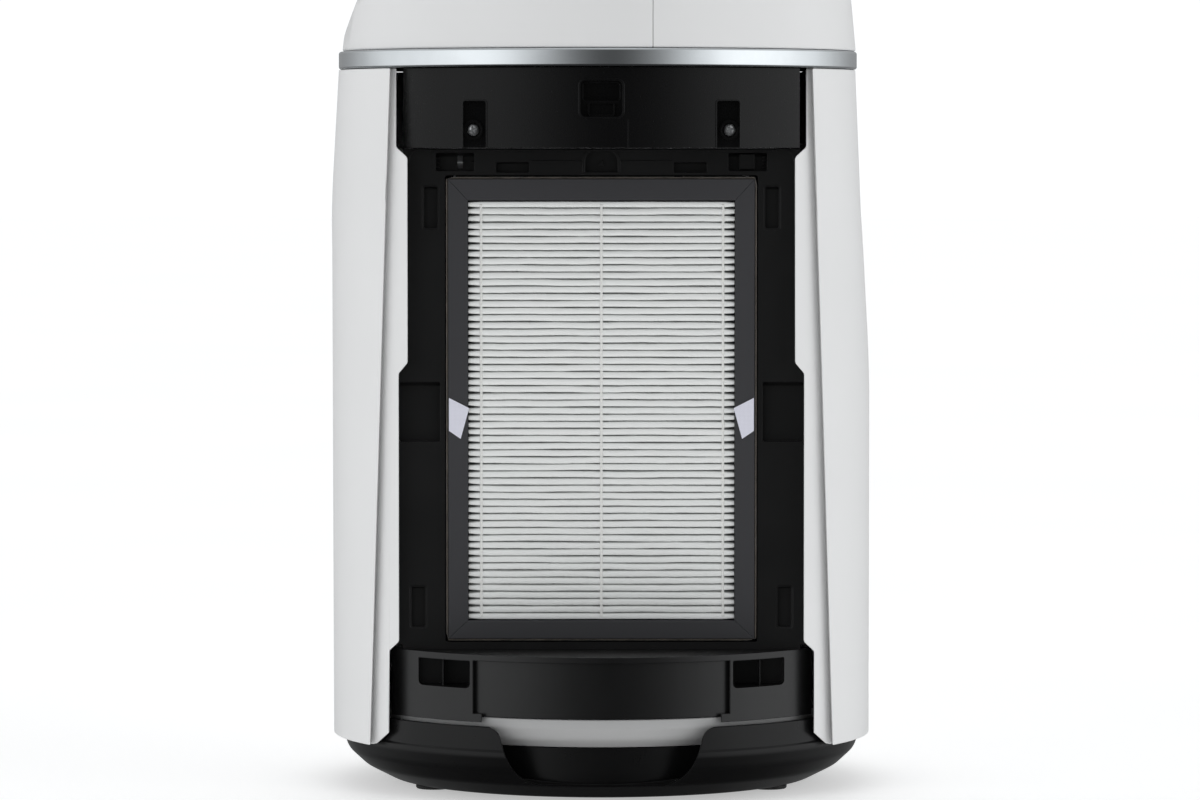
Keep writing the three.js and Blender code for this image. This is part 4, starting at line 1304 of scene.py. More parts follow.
        line = Solid.box(17.8, 18.1, -REACH, -170, low - 1, 462).keep(
            Solid.revolve([(radius - 0.25, low), (radius + 2, low), (radius + 2, 470), (radius - 0.25, 470)]))
        bump = Solid.rod(1.1, 0, 1.6, 16).turned(90, "X")
        bumps = [bump.shifted(x, -172.6, low + 1.2) for x in (-15.8, 15.8)]
        return body.cut(line).join(*bumps)

    def rims(self, socket_low: float, socket_high: float) -> list[Solid]:
        """Thin raised lines round the latch socket and the screw recesses."""
        radius = self.fascia_radius
        proud = Solid.rod(radius + 0.5, 0, 600, ROUND)
        outline = rounded_box(-15.4, 15.4, socket_low - 1, socket_high + 1, 4.8)
        socket = Solid.prism(outline, -REACH, -168, Plane.FRONT)
        hollow = Solid.prism(rounded_box(-14.4, 14.4, socket_low, socket_high, 4), -REACH, 0, Plane.FRONT)
        rims = [socket.cut(hollow).keep(proud)]
        low = self.panel_low
        outer = rounded([(76.9, low, 0), (94.0, low, 0), (94.0, 475.8, 2.2), (76.9, 475.8, 2.2)])
        inner = rounded([(77.7, low - 5, 0), (93.2, low - 5, 0), (93.2, 475, 1.6), (77.7, 475, 1.6)])
        frame_line = Solid.prism(outer, -REACH, -148, Plane.FRONT).cut(
            Solid.prism(inner, -REACH, 0, Plane.FRONT)).keep(Solid.rod(radius + 0.35, 0, 600, ROUND))
        rims.extend(frame_line.both_sides())
        return rims

    def on_screw(self, solid: Solid, x: float) -> Solid:
        """Turns a shape drawn along Z to point out of the panel at a screw."""
        return solid.turned(90, "X").shifted(x, self.screw_seat, self.screw_z)

    def screw(self) -> Solid:
        """A pan-head screw with a cross recess and a washer face."""
        body = Solid.revolve(rounded([
            (0, -9.8, 0), (1.9, -8.8, 0.2), (1.9, GAP, 0), (4.0, GAP, 0.2), (4.0, 0.6, 0), (3.7, 1.3, 0),
            (3.2, 1.8, 0), (2.4, 2.25, 0), (1.4, 2.5, 0), (0, 2.6, 0),
        ], 6), 40)
        wing = rounded([(-0.45, 0.7, 0), (0.45, 0.7, 0), (0.75, 4, 0), (-0.75, 4, 0)])
        slots = [Solid.prism(wing, -2.35, 2.35, Plane.FRONT).turned(turn) for turn in (18, 108)]
        core = Solid.revolve([(0, 0.6), (0.9, 0.9), (1.3, 4), (0, 4)], 16)
        return body.cut(*slots, core)

    def build(self) -> None:
        """Makes the mouldings and the screws."""
        self.make("filter_bay", self.bay(), BAY_BLACK, 0)
        self.make("filter_contact", self.contact(), ZINC, 0.12, extra=True)
        self.make("sill", self.sill(), BLACK, 0)
        self.make("upper_panel", self.panel(), PANEL_BLACK, 0)
        for hand, x in (("left", -self.screw_x), ("right", self.screw_x)):
            self.make(f"panel_screw_{hand}", self.on_screw(self.screw(), x), ZINC, 0.12)


# ---------------------------------------------------------------- filters


@dataclass
class FilterPack:
    """One filter: card frame, pleats with glue beads, felt, pull tabs and the carbon mat behind it."""

    shop: Workshop
    side: str
    pleats: int = 59
    bead_places: tuple[float, ...] = (-82.0, 0.0, 83.0)
    strand_seed: int = 5

    def __post_init__(self) -> None:
        """Reads the filter's sizes from the frame."""
        low, high = span("near_filter_frame")
        self.half, self.low, self.high = high.x, low.z, high.z
        self.front, self.back = low.y, high.y
        low, high = span("near_pleated_medium")
        self.open_half = high.x
        self.open_low, self.open_high = low.z, high.z
        self.fold_front = low.y
        self.body = f"{self.side}_filter"

    def make(
        self, name: str, solid: Solid, finish: Finish, soft: float, stands_for: bool = True, **more: float
    ) -> None:
        """Makes a piece of this filter, turned half round on the far side."""
        shape = solid.turned(180) if self.side == "far" else solid
        full = f"{self.side}_{name}"
        self.shop.piece(full, shape, finish, self.body, [full] if stands_for else [], soft=soft, **more)

    def boards(self) -> Solid:
        """Four mitred card boards."""
        half, low, high = self.half, self.low, self.high
        win, win_low, win_high = self.open_half + GAP, self.open_low - GAP, self.open_high + GAP
        outlines = [
            [(-half, low), (half, low), (win, win_low), (-win, win_low)],
            [(half, low), (half, high), (win, win_high), (win, win_low)],
            [(half, high), (-half, high), (-win, win_high), (win, win_high)],
            [(-half, high), (-half, low), (-win, win_low), (-win, win_high)],
        ]
        boards = (Solid.prism(outline, self.front, self.back, Plane.FRONT) for outline in outlines)
        return heap(board.softened(0.45) for board in boards)

    def fold_line(self, x: float) -> list[Point2]:
        """The pleats' (y, z) line at one place across the filter."""
        pitch = (self.open_high - self.open_low) / self.pleats
        edge = max(0.0, (abs(x) - 82.5) / 8.0)
        points: list[Point2] = []
        for i in range(self.pleats):
            slow = noise.noise(Vector((x * 0.03, i * 7.3, 1.7)))
            quick = noise.noise(Vector((x * 0.13, i * 3.1, 8.2)))
            sway = 0.4 * slow + 0.14 * quick
            lift = 0.5 * noise.noise(Vector((x * 0.03, i * 5.7, 4.4))) + 0.35
            open_gap = 0.52 + 0.2 * noise.noise(Vector((x * 0.05, i * 2.9, 3.3))) + 1.3 * min(1.0, edge)
            base = self.open_low + i * pitch
            middle = base + pitch / 2 + sway * (0.3 if i in (0, self.pleats - 1) else 1.0)
            half = pitch / 2 - open_gap / 2
            front = self.fold_front + lift
            points.append((front + 8.5 + 7.5 * min(1.0, edge), base + 0.05))
            for share, sink in ((1.0, 3.6), (0.95, 1.5), (0.76, 0.45), (0.42, 0.08), (0.0, 0.0),
                                (-0.42, 0.08), (-0.76, 0.45), (-0.95, 1.5), (-1.0, 3.6)):
                z = min(max(middle - half * share, base + 0.1), base + pitch - 0.05)
                points.append((front + sink, z))
        points.append((self.fold_front + 16.0, self.open_high))
        return points

    def medium(self) -> Solid:
        """The folded paper, whose folds waver and open near its two ends."""
        count = 61
        columns = [-self.open_half + 2 * self.open_half * k / (count - 1) for k in range(count)]
        lines = [self.fold_line(x) for x in columns]
        rows = len(lines[0])
        back = self.fold_front + 30.5
        points: list[Point3] = []
        for x, line in zip(columns, lines):
            points.extend((x, y, z) for y, z in line)
        behind = len(points)
        for x, line in zip(columns, lines):
            points.extend((x, back, z) for _, z in line)
        faces = []
        for i in range(count - 1):
            for k in range(rows - 1):
                a, b = i * rows + k, (i + 1) * rows + k
                faces.append([a, b, b + 1, a + 1])
                faces.append([behind + a, behind + a + 1, behind + b + 1, behind + b])
            for k in (0, rows - 1):
                a, b = i * rows + k, (i + 1) * rows + k
                faces.append([a, b, behind + b, behind + a])
        for i in (0, count - 1):
            for k in range(rows - 1):
                a = i * rows + k
                faces.append([a, a + 1, behind + a + 1, behind + a])
        return Solid.of(points, faces)

    def bead(self, x: float) -> Solid:
        """A thread of glue laid across the pleats."""
        line = self.fold_line(x)
        tips = [line[1 + 10 * i + 4] for i in range(self.pleats)]
        path: list[Point3] = []
        for i, (y, z) in enumerate(tips):
            path.append((x + 0.25 * math.sin(i * 1.7), y + 0.35, z))
            if i + 1 < len(tips):
                path.append((x, y + 0.85, (z + tips[i + 1][1]) / 2))
        return sweep(path, 0.95, 10)

    def felt(self) -> Solid:
        """The felt strip round the frame, with an uneven front edge."""
        low, high = span("near_filter_seal")
        inner = GAP
        outer = high.x - self.half
        ring: list[list[Point3]] = []
        count = 260
        for k in range(count):
            x, z, nx, nz = self.round_frame(k / count)
            rough = noise.noise(Vector((x * 0.4, z * 0.4, 2.0)))
            front = low.y + 0.35 + 0.55 * rough
            swell = outer - 0.15 + 0.12 * noise.noise(Vector((x * 0.8, z * 0.8, 9.0)))
            ring.append([
                (x + nx * inner, front + 0.4, z + nz * inner),
                (x + nx * (inner + outer) / 2, front, z + nz * (inner + outer) / 2),
                (x + nx * swell, front + 0.5, z + nz * swell),
                (x + nx * swell, high.y, z + nz * swell),
                (x + nx * inner, high.y, z + nz * inner),
            ])
        points = [point for section in ring for point in section]
        faces = []
        for k in range(count):
            n = (k + 1) % count
            for j in range(5):
                m = (j + 1) % 5
                faces.append([k * 5 + j, n * 5 + j, n * 5 + m, k * 5 + m])
        return Solid.of(points, faces)

    def round_frame(self, share: float) -> tuple[float, float, float, float]:
        """A place and an outward direction on the frame's outline, share of the way round it."""
        width, height = 2 * self.half, self.high - self.low
        run = share * 2 * (width + height)
        if run < width:
            x, z, nx, nz = -self.half + run, self.low, 0.0, -1.0
        elif run < width + height:
            x, z, nx, nz = self.half, self.low + run - width, 1.0, 0.0
        elif run < 2 * width + height:
            x, z, nx, nz = self.half - (run - width - height), self.high, 0.0, 1.0
        else:
            x, z, nx, nz = -self.half, self.high - (run - 2 * width - height), -1.0, 0.0
        return x, z, nx, nz

    def fuzz(self) -> Solid:
        """Loose fibres that stand out of the felt's front edge."""
        rng = random.Random(self.strand_seed)
        front = span("near_filter_seal")[0].y
        points: list[Point3] = []
        faces: list[list[int]] = []
        for _ in range(1500):
            x, z, nx, nz = self.round_frame(rng.random())
            out = rng.uniform(GAP + 0.1, 1.2)
            root = Vector((x + nx * out, front + rng.uniform(0.2, 0.9), z + nz * out))
            lean = Vector((rng.gauss(0, 0.6), -rng.uniform(0.4, 1.3), rng.gauss(0, 0.6)))
            side = Vector((rng.uniform(-1, 1), rng.uniform(-0.3, 0.3), rng.uniform(-1, 1))).normalized() * 0.045
            across = lean.cross(side).normalized() * 0.045
            first = len(points)
            points.extend(tuple(p) for p in (root + side, root - side, root + across, root + lean))
            faces.extend([[first, first + 1, first + 2], [first, first + 1, first + 3],
                          [first + 1, first + 2, first + 3], [first + 2, first, first + 3]])
        return Solid.of(points, faces)

    def carbon(self) -> Solid:
        """The carbon mat, with a pressed edge round its honeycomb."""
        low, high = span("near_carbon_filter")
        mat = Solid.box(low.x, high.x, low.y, high.y, low.z, high.z)
        face = Solid.box(low.x + 9, high.x - 9, low.y - 1, low.y + 1.2, low.z + 9, high.z - 9)
        rear = face.shifted(y=high.y - low.y - 0.2)
        return mat.cut(face, rear)

    def tab(self, side: int) -> None:
        """A satin ribbon tab that lies over the frame's edge and ends on the pleats."""
        hand = "right" if side > 0 else "left"
        name = f"{self.side}_pull_tab_{hand}"
        outer_top, inner_top, inner_low, outer_low = ((104, 273), (90.2, 266), (96, 245), (104, 250.5))
        count = 14
        grid: list[list[Vector]] = []
        for i in range(count + 1):
            u = i / count
            row = []
            for k in range(count + 1):
                v = k / count
                x = (
                    (outer_top[0] * (1 - u) + inner_top[0] * u) * (1 - v)
                    + (outer_low[0] * (1 - u) + inner_low[0] * u) * v
                )
                z = (
                    (outer_top[1] * (1 - u) + inner_top[1] * u) * (1 - v)
                    + (outer_low[1] * (1 - u) + inner_low[1] * u) * v
                )
                wave = 0.13 * math.sin(5.0 * u + 1.1 * v + side) * u
                lift = wave + 0.08 * noise.noise(Vector((x * 0.3, z * 0.3, side)))
                row.append(Vector((side * x, self.front - 0.72 - lift, z)))
            grid.append(row)
        thick = 0.36
        points = [tuple(p) for row in grid for p in row]
        points += [(p.x, p.y + thick, p.z) for row in grid for p in row]
        wide = count + 1
        behind = wide * wide
        faces = []
        for i in range(count):
            for k in range(count):
                a = i * wide + k
                faces.append([a, a + 1, a + wide + 1, a + wide])
                faces.append([behind + a, behind + a + wide, behind + a + wide + 1, behind + a + 1])
            for a, b in ((i, i + 1), (count * wide + i, count * wide + i + 1)):
                faces.append([a, b, behind + b, behind + a])
            for a, b in ((i * wide, (i + 1) * wide), (i * wide + count, (i + 1) * wide + count)):
                faces.append([a, b, behind + b, behind + a])
        solid = Solid.of(points, faces)
        shape = solid.turned(180) if self.side == "far" else solid
        made = self.shop.piece(name, shape, RIBBON, self.body, soft=0)

    def build(self) -> None:
        """Makes the filter."""
        self.make("filter_frame", self.boards(), CARD, 0)
        self.make("pleated_medium", self.medium(), PAPER, 0, angle=60)
        self.make("glue_beads", heap(self.bead(x) for x in self.bead_places), GLUE, 0, stands_for=False)
        self.make("filter_seal", self.felt(), FELT, 0)
        self.make("felt_fuzz", self.fuzz(), FELT, 0, stands_for=False)
        self.make("carbon_filter", self.carbon(), CARBON, 0.5)
        for side in (-1, 1):
            self.tab(side)


# ---------------------------------------------------------------- head


@dataclass
class HeadShape:
    """The head's outside, which narrows to the control panel, with its slanted outlet face."""

    heights: tuple[float, ...] = (510.5, 547, 600, 650, 700, 740, 765, 777, 783, 785)
    radii: tuple[float, ...] = (179.6, 175.6, 168, 157.5, 141, 119, 95, 76, 62, 54)
    leans: tuple[float, ...] = (-1.6, -1, 0, 2, 5, 8, 11, 13, 14, 14)
    face_lean: float = 24.0
    face_foot: Point2 = (-178.0, 524.0)
    outlet_height: float = 650.0
    wall: float = 2.5

    def core(self, inset: float, floor: float) -> Solid:
        """The head as a solid, inset from its outside."""
        zs: list[float] = []
        for low, high in zip(self.heights, self.heights[1:]):
            steps = max(2, round((high - low) / 6))
            zs.extend(low + (high - low) * k / steps for k in range(steps))
        profile = [(0.0, floor), (self.radii[0] - inset, floor)]
        for z in [*zs, self.heights[-1]]:
            if z - inset > floor + 0.5:
                profile.append((smooth_value(self.heights, self.radii, z) - inset, z - inset))
        profile.append((0.0, self.heights[-1] - inset))
        return Solid.revolve(profile, ROUND, lambda z: smooth_value(self.heights, self.leans, z))

    def outlet(self) -> Matrix:
        """The outlet's frame: +Z points out of the slanted face and +X up along it."""
        lean = math.radians(self.face_lean)
        x = self.face_foot[0] + (self.outlet_height - self.face_foot[1]) * math.tan(lean)
        return Matrix.Translation((x, 0, self.outlet_height)) @ Matrix.Rotation(lean - math.pi / 2, 4, "Y")

    def beyond_face(self, shift: float) -> Solid:
        """All that lies in front of the slanted face, moved out by shift."""
        return Solid.box(-REACH, REACH, -REACH, REACH, shift, REACH).moved(self.outlet())


@dataclass
class Head:
    """The two head casings and what is set into them."""

    shop: Workshop
    shape: HeadShape = field(default_factory=HeadShape)
    panel_radius: float = 42.0
    centre: float = 14.0
    button_orbit: float = 26.0
    handle: tuple[float, ...] = (55.0, 640.0, 672.0)
    sensor: tuple[float, ...] = (-60.0, -32.0, 562.0, 588.0)

    def shell(self) -> Solid:
        """Both casings as one: the outside with its rounded face edge, hollowed and pierced."""
        floor = self.shape.heights[0]
        outside = self.shape.core(0, floor).cut(self.shape.beyond_face(0)).softened(1.8, 30, 4)
        inside = self.shape.core(self.shape.wall, floor - 10).cut(self.shape.beyond_face(-self.shape.wall))
        hole = Solid.prism(oval(118, 84), -12, 12).moved(self.shape.outlet())
        panel_hole = Solid.rod(self.panel_radius, 770, 800, 96).shifted(self.centre)
        return outside.cut(inside, hole, panel_hole)

    def casings(self) -> None:
        """Parts the shell at its seam and cuts the holes of the rear casing."""
        shell = self.shell()
        seam = 34.5
        front = shell.keep(Solid.box(-REACH, seam - GAP / 2, -REACH, REACH, 500, 800))
        rear = shell.keep(Solid.box(seam + GAP / 2, REACH, -REACH, REACH, 500, 800))
        half, low, high = self.handle
        grip = Solid.prism(rounded_box(-half, half, low, high, 9), 100, REACH, Plane.SIDE)
        y0, y1, z0, z1 = self.sensor
        window = Solid.prism(rounded_box(y0, y1, z0, z1, 2.5), 100, REACH, Plane.SIDE)
        self.shop.piece("head_front_casing", front, WHITE, soft=0.45, angle=38)
        self.shop.piece("head_rear_casing", rear.cut(grip, window), WHITE, soft=0.45, angle=38)

    def handle_cup(self) -> Solid:
        """The rear grip: a cup with rounded corners."""
        near, far = span("rear_handle_cup")
        outer = Solid.prism(rounded_box(near.y, far.y, near.z, far.z, 8.7), near.x, far.x, Plane.SIDE)
        inner = rounded_box(near.y + 2.4, far.y - 2.4, near.z + 2.4, far.z - 2.4, 6.5)
        return outer.cut(Solid.prism(inner, near.x + 2.4, REACH, Plane.SIDE))

    def sensor_cover(self) -> Solid:
        """A small vented cover over the dust sensor."""
        near, far = span("sensor_cover")
        plate = Solid.prism(rounded_box(near.y, far.y, near.z, far.z, 2.2), near.x, far.x, Plane.SIDE)
        slits = []
        for k in range(4):
            z = near.z + 4.4 + k * 4.6
            outline = rounded_box(near.y + 4.7, far.y - 4.7, z, z + 2, 0.95)
            slits.append(Solid.prism(outline, near.x - 5, far.x + 5, Plane.SIDE))
        return plate.cut(*slits)

    def button_place(self, turn: float) -> Point2:
        """A button's middle, turn degrees round the control panel."""
        angle = math.radians(turn)
        return self.centre + self.button_orbit * math.cos(angle), self.button_orbit * math.sin(angle)

    def panel(self) -> Solid:
        """The glossy control panel with a hole for each button and a groove round its status ring."""
        low, high = span("control_panel")
        face = self.panel_radius - 0.4
        disc = Solid.revolve(rounded([
            (0, low.z, 0), (high.x - self.centre, low.z, 0.3), (high.x - self.centre, low.z + 1.8, 0.3),
            (face, low.z + 1.8, 0), (face, high.z, 0.9), (0, high.z, 0),
        ]), 128).shifted(self.centre)
        holes = [Solid.rod(8.5, 770, 790).shifted(*self.button_place(turn)) for turn in (180, 240, 120)]
        groove = Solid.revolve([(12.4, high.z - 0.5), (13.8, high.z - 0.5), (13.8, 790), (12.4, 790)], 96)
        return disc.cut(*holes, groove.shifted(self.centre))

    def status_ring(self) -> Solid:
        """The milky ring that lights up with the air's state."""
        top = span("control_panel")[1].z
        foot, crest = top - 0.45, top - 0.02
        ring = rounded([(12.5, foot, 0), (13.7, foot, 0), (13.7, crest, 0.2), (12.5, crest, 0.2)])
        return Solid.revolve(ring, 96).shifted(self.centre)

    def button(self) -> Solid:
        """A round button with a shallow dish, drawn about its own axis."""
        low, high = span("power_button")
        dish = [(r, high.z - 0.5 + 0.5 * (r / 7.1) ** 2) for r in (7.1, 6, 5, 4, 3, 2, 1, 0)]
        return Solid.revolve([(0, low.z), (8, low.z), (8, high.z - 0.7), (7.75, high.z - 0.15), *dish], 64)

    def marks(self) -> dict[str, Solid]:
        """Plain marks on the buttons: a broken ring with a bar, three steps, and a leaf-shaped drop."""
        low = span("power_button")[1].z - 0.62
        high = low + 0.2
        ring = [(3.0 * math.sin(t), 3.0 * math.cos(t)) for t in np.linspace(0.6, 2 * math.pi - 0.6, 40)]
        inner = [(2.35 * math.sin(t), 2.35 * math.cos(t)) for t in np.linspace(2 * math.pi - 0.6, 0.6, 40)]
        power = Solid.prism(ring + inner, low, high + 0.1).join(
            Solid.prism(rounded_box(-0.33, 0.33, 1.2, 3.4, 0.3), low, high + 0.1))
        bars = [rounded_box(-2.6 + 2 * k, -1.4 + 2 * k, -2.2, -0.6 + 1.4 * k, 0.3) for k in range(3)]
        steps = [Solid.prism(bar, low, high) for bar in bars]
        drop = rounded([(0, 3.4, 0.3), (2.4, -0.4, 2.2), (0, -2.8, 2.4), (-2.4, -0.4, 2.2)], 8)
        slot = rounded([(0, 1.6, 0.2), (1.2, -0.5, 1.1), (0, -1.7, 1.2), (-1.2, -0.5, 1.1)], 8)
        mode = Solid.prism(drop, low, high).cut(Solid.prism(slot, low - 1, high + 1))
        return {"power": power, "speed": heap(steps), "mode": mode}

    def build(self) -> None:
        """Makes the head."""
        self.casings()
        self.shop.piece("rear_handle_cup", self.handle_cup(), BLACK, soft=0.5)
        self.shop.piece("sensor_cover", self.sensor_cover(), WHITE, soft=0.3)
        self.shop.piece("control_panel", self.panel(), GLOSS, soft=0.25)
        self.shop.piece("status_ring", self.status_ring(), MARK_WHITE, stands_for=[], soft=0)
        for use, turn in (("power", 180), ("speed", 240), ("mode", 120)):
            place = self.button_place(turn)
            body = f"{use}_button"
            self.shop.piece(body, self.button().shifted(*place), KEY_GREY, body=body, soft=0)
            mark = self.marks()[use].turned(90).shifted(*place)
            self.shop.piece(f"{use}_mark", mark, MARK_WHITE, body=body, stands_for=[], soft=0)


@dataclass
class Outlet:
    """The oval outlet: bezel, grille, five louvre blades and their motor."""

    shop: Workshop
    frame: Matrix
    half_height: float = 118.0
    half_width: float = 84.0
    wall: float = 4.4
    depth: float = 36.0
    blade_depth: float = -15.0
    pitch: float = 38.0

    def set_in(self, solid: Solid) -> Solid:
        """Moves a shape drawn in the outlet's own frame into place."""
        return solid.moved(self.frame)

    def bezel(self) -> Solid:
        """The oval cup round the louvres."""
        clear = 0.6
        outer = Solid.prism(oval(self.half_height - clear, self.half_width - clear, 128), -self.depth, 0.8)
        inner = oval(self.half_height - self.wall, self.half_width - self.wall, 128)
        hollow = Solid.prism(inner, -self.depth + 2.4, 5)
        duct_hole = Solid.rod(77, -self.depth - 5, 0, 96).shifted(20)
        pivots = []
        for x in self.blade_places():
            half = self.blade_half(x)
            pivot = Solid.rod(2.6, half + 0.6, half + 8, 24).turned(-90, "X")
            pivots.append(pivot.shifted(x, 0, self.blade_depth))
        inside = Solid.prism(oval(self.half_height - 1, self.half_width - 1, 128), -self.depth, 0)
        holes = [Solid.rod(1.8, -REACH, REACH, 20).turned(90, "X").shifted(x, 0, self.blade_depth)
                 for x in self.blade_places()]
        bosses = []
        for pivot in pivots:
            boss = pivot.keep(inside)
            bosses.extend([boss, boss.moved(Matrix.Scale(-1, 4, (0, 1, 0)))])
        return outer.cut(hollow, duct_hole).join(*bosses).cut(*(hole.keep(inside) for hole in holes))

    def blade_places(self) -> list[float]:
        """Each blade's place along the outlet's X axis."""
        return [(i - 2) * self.pitch for i in range(5)]

    def blade_half(self, x: float) -> float:
        """Half length of the blade at a place."""
        reach = abs(x) + 6
        share = reach / (self.half_height - self.wall)
        return (self.half_width - self.wall) * math.sqrt(1 - share ** 2) - 2.5

    def grille(self) -> Solid:
        """The finger guard behind the louvres."""
        half_x, half_y = self.half_height - self.wall - 1, self.half_width - self.wall - 1
        z0, z1 = -31.0, -28.5
        field_ = Solid.prism(oval(half_x, half_y), z0, z1)
        hollow = Solid.prism(oval(half_x - 4, half_y - 4), z0 - 1, z1 + 1)
        bars = [Solid.box(22 * i - 1.1, 22 * i + 1.1, -REACH, REACH, z0, z1) for i in range(-4, 5)]
        spine = Solid.box(-REACH, REACH, -1.5, 1.5, z0, z1)
        return field_.cut(hollow).join(spine.join(*bars).keep(field_))

    def blade(self, x: float) -> Solid:
        """A louvre blade with a slightly tapered section and its two pins."""
        half = self.blade_half(x)
        body = Solid.prism(oval(1.7, 11, 48), -half, half).softened(0.9, 40, 3)
        pin = Solid.rod(1.4, -half - 1.8, half + 1.8, 20)
        return body.join(pin).turned(90, "X").shifted(x, 0, self.blade_depth)

    def build(self) -> None:
        """Makes the outlet."""
        self.shop.piece("outlet_bezel", self.set_in(self.bezel()), GLOSS, soft=0.5)
        self.shop.piece("outlet_grille", self.set_in(self.grille()), BLACK, soft=0.4)
        for i, x in enumerate(self.blade_places()):
            name, body = f"louvre_blade_{i + 1}", f"louvre_{i + 1}"
            self.shop.piece(name, self.set_in(self.blade(x)), GLOSS, body=body, soft=0)
        motor = Solid.rod(8.5, 0, 8).turned(-90, "X").shifted(0, self.half_width + 0.6, self.blade_depth)
        self.shop.piece("louvre_motor", self.set_in(motor), STEEL, soft=0.5)


# ---------------------------------------------------------------- ring and inside


@dataclass
class Inside:
    """The chrome ring and the parts inside the body and the head."""

    shop: Workshop

    def ring(self) -> Solid:
        """The trim ring between the body and the head."""
        near, far = span("trim_ring")
        outside = (far.x - near.x) / 2
        inner = outside - 5.6
        return Solid.revolve(rounded([
            (inner, near.z, 0), (outside - 0.9, near.z, 0.9), (outside, near.z + 1.2, 1.2),
            (outside, far.z - 1.2, 1.2), (outside - 0.9, far.z, 0.9), (inner, far.z, 0),
        ], 6), 256).shifted((near.x + far.x) / 2)

    def carrier(self) -> Solid:
        """The ring that carries the head."""
        return Solid.revolve([
            (140, 498), (172.5, 498), (172.5, 509.9), (168.5, 509.9), (168.5, 501), (140, 501),
        ])

    def housing(self) -> Solid:
        """The fan housing, with ribs round its outside."""
        return Solid.revolve(rounded([
            (95, 446.5, 1), (132, 446.5, 0.6), (132, 449.5, 0.6), (121, 449.5, 3), (121, 548, 0.6),
            (118, 548, 0.6), (118, 452.5, 3), (104, 449.5, 3), (95, 449.5, 1),
        ]))

    def impeller(self) -> Solid:
        """A mixed-flow hub with nine twisted blades."""
        hub = Solid.revolve(rounded([
            (0, 459, 0), (24, 461, 8), (40, 470, 8), (50, 500, 0.8), (45.5, 500, 0.8), (36, 473, 7),
            (22, 464.5, 7), (0, 462.5, 0),
        ]), 96)
        blades = []
        for i in range(9):
            blades.append(self.fan_blade().turned(i * 40.0))
        return hub.join(*blades)

    def fan_blade(self) -> Solid:
        """One blade, steeper at its root than at its tip."""
        count = 14
        points: list[Point3] = []
        for k in range(count + 1):
            share = k / count
            radius = 41 + 71 * share
            lean = math.radians(50 - 16 * share)
            chord = 18 + 5 * share
            for a, t in ((-1, -1), (0, -1.15), (1, -1), (1, 1), (0, 1.15), (-1, 1)):
                run = a * chord
                bow = 2.2 * (1 - a * a)
                y = run * math.cos(lean) - (t + bow) * math.sin(lean)
                z = run * math.sin(lean) + (t + bow) * math.cos(lean)
                points.append((radius, y, 481 + z * 0.95))
        faces = [list(range(6)), [count * 6 + j for j in range(6)]]
        for k in range(count):
            for j in range(6):
                m = (j + 1) % 6
                faces.append([k * 6 + j, k * 6 + m, (k + 1) * 6 + m, (k + 1) * 6 + j])
        return Solid.of(points, faces)

    def mount(self) -> Solid:
        """The motor's cup, held by five guide vanes in a ring."""
        cup = Solid.revolve([(0, 533.8), (38.4, 533.8), (38.4, 515), (42, 515), (42, 537.5), (0, 537.5)], 96)
        ring = Solid.revolve([(114.6, 516), (117.4, 516), (117.4, 538), (114.6, 538)])
        vanes = [Solid.box(40.5, 116, -1.3, 1.3, 518, 536).turned(i * 72.0) for i in range(5)]
        return cup.join(ring, *vanes)

    def motor(self) -> Solid:
        """The fan's motor can with a rolled edge and a bearing boss."""
        return Solid.revolve(rounded([
            (0, 503.5, 0), (9, 503.5, 0.8), (9, 505, 0.6), (33.5, 505, 2), (38, 508, 2.5),
            (38, 533.5, 0.6), (0, 533.5, 0),
        ]), 96)

    def build(self) -> None:
        """Makes the parts that turn or show, and dresses the others."""
        self.shop.piece("trim_ring", self.ring(), CHROME, soft=0)
        self.shop.piece("head_carrier", self.carrier(), BLACK, soft=0.4)
        self.shop.piece("fan_housing", self.housing(), GREY, soft=0)
        self.shop.piece("impeller", self.impeller(), GREY, body="fan", soft=0)
        self.shop.piece("motor_shaft", Solid.rod(4, 463.4, 503.2), STEEL, body="fan", soft=0.5)
        self.shop.piece("motor_mount", self.mount(), GREY, soft=0.4)
        self.shop.piece("fan_motor", self.motor(), STEEL, soft=0)
        for node, finish in (
            ("fan_deck", GREY), ("outlet_duct", GREY), ("main_board", BOARD), ("dust_sensor", BLACK),
        ):
            self.shop.dress(node, finish)


# ---------------------------------------------------------------- studio


@dataclass(frozen=True)
class FloorPaint(Finish):
    """Pale seamless studio floor."""

    def draw(self, graph: Graph) -> None:
        """Faint clouds in a matt white."""
        cloud = graph.speckle(0.6, 3.0)
        grain = graph.speckle(0.003, 3.0)
        shade = tuple(c * 0.985 for c in self.colour)
        values = {
            "Base Color": graph.mix(cloud.between(0.3, 0.7), self.colour, shade),
            "Roughness": self.rough + (grain - 0.5) * 0.08,
            "Emission Color": graph.mix(cloud.between(0.3, 0.7), self.colour, shade),
            "Emission Strength": 0.5,
            "Normal": graph.bump(grain, 0.00003),
        }
        graph.surface(values)


@dataclass(frozen=True)
class SoftBox:
    """A large soft light far away, as seen from the object."""

    azimuth: float  # degrees from -Y, positive towards +X
    elevation: float
    spread: float  # higher is narrower
    strength: float

    def direction(self) -> Point3:
        """Unit vector towards the light."""
        a, e = math.radians(self.azimuth), math.radians(self.elevation)
        return (math.sin(a) * math.cos(e), -math.cos(a) * math.cos(e), math.sin(e))


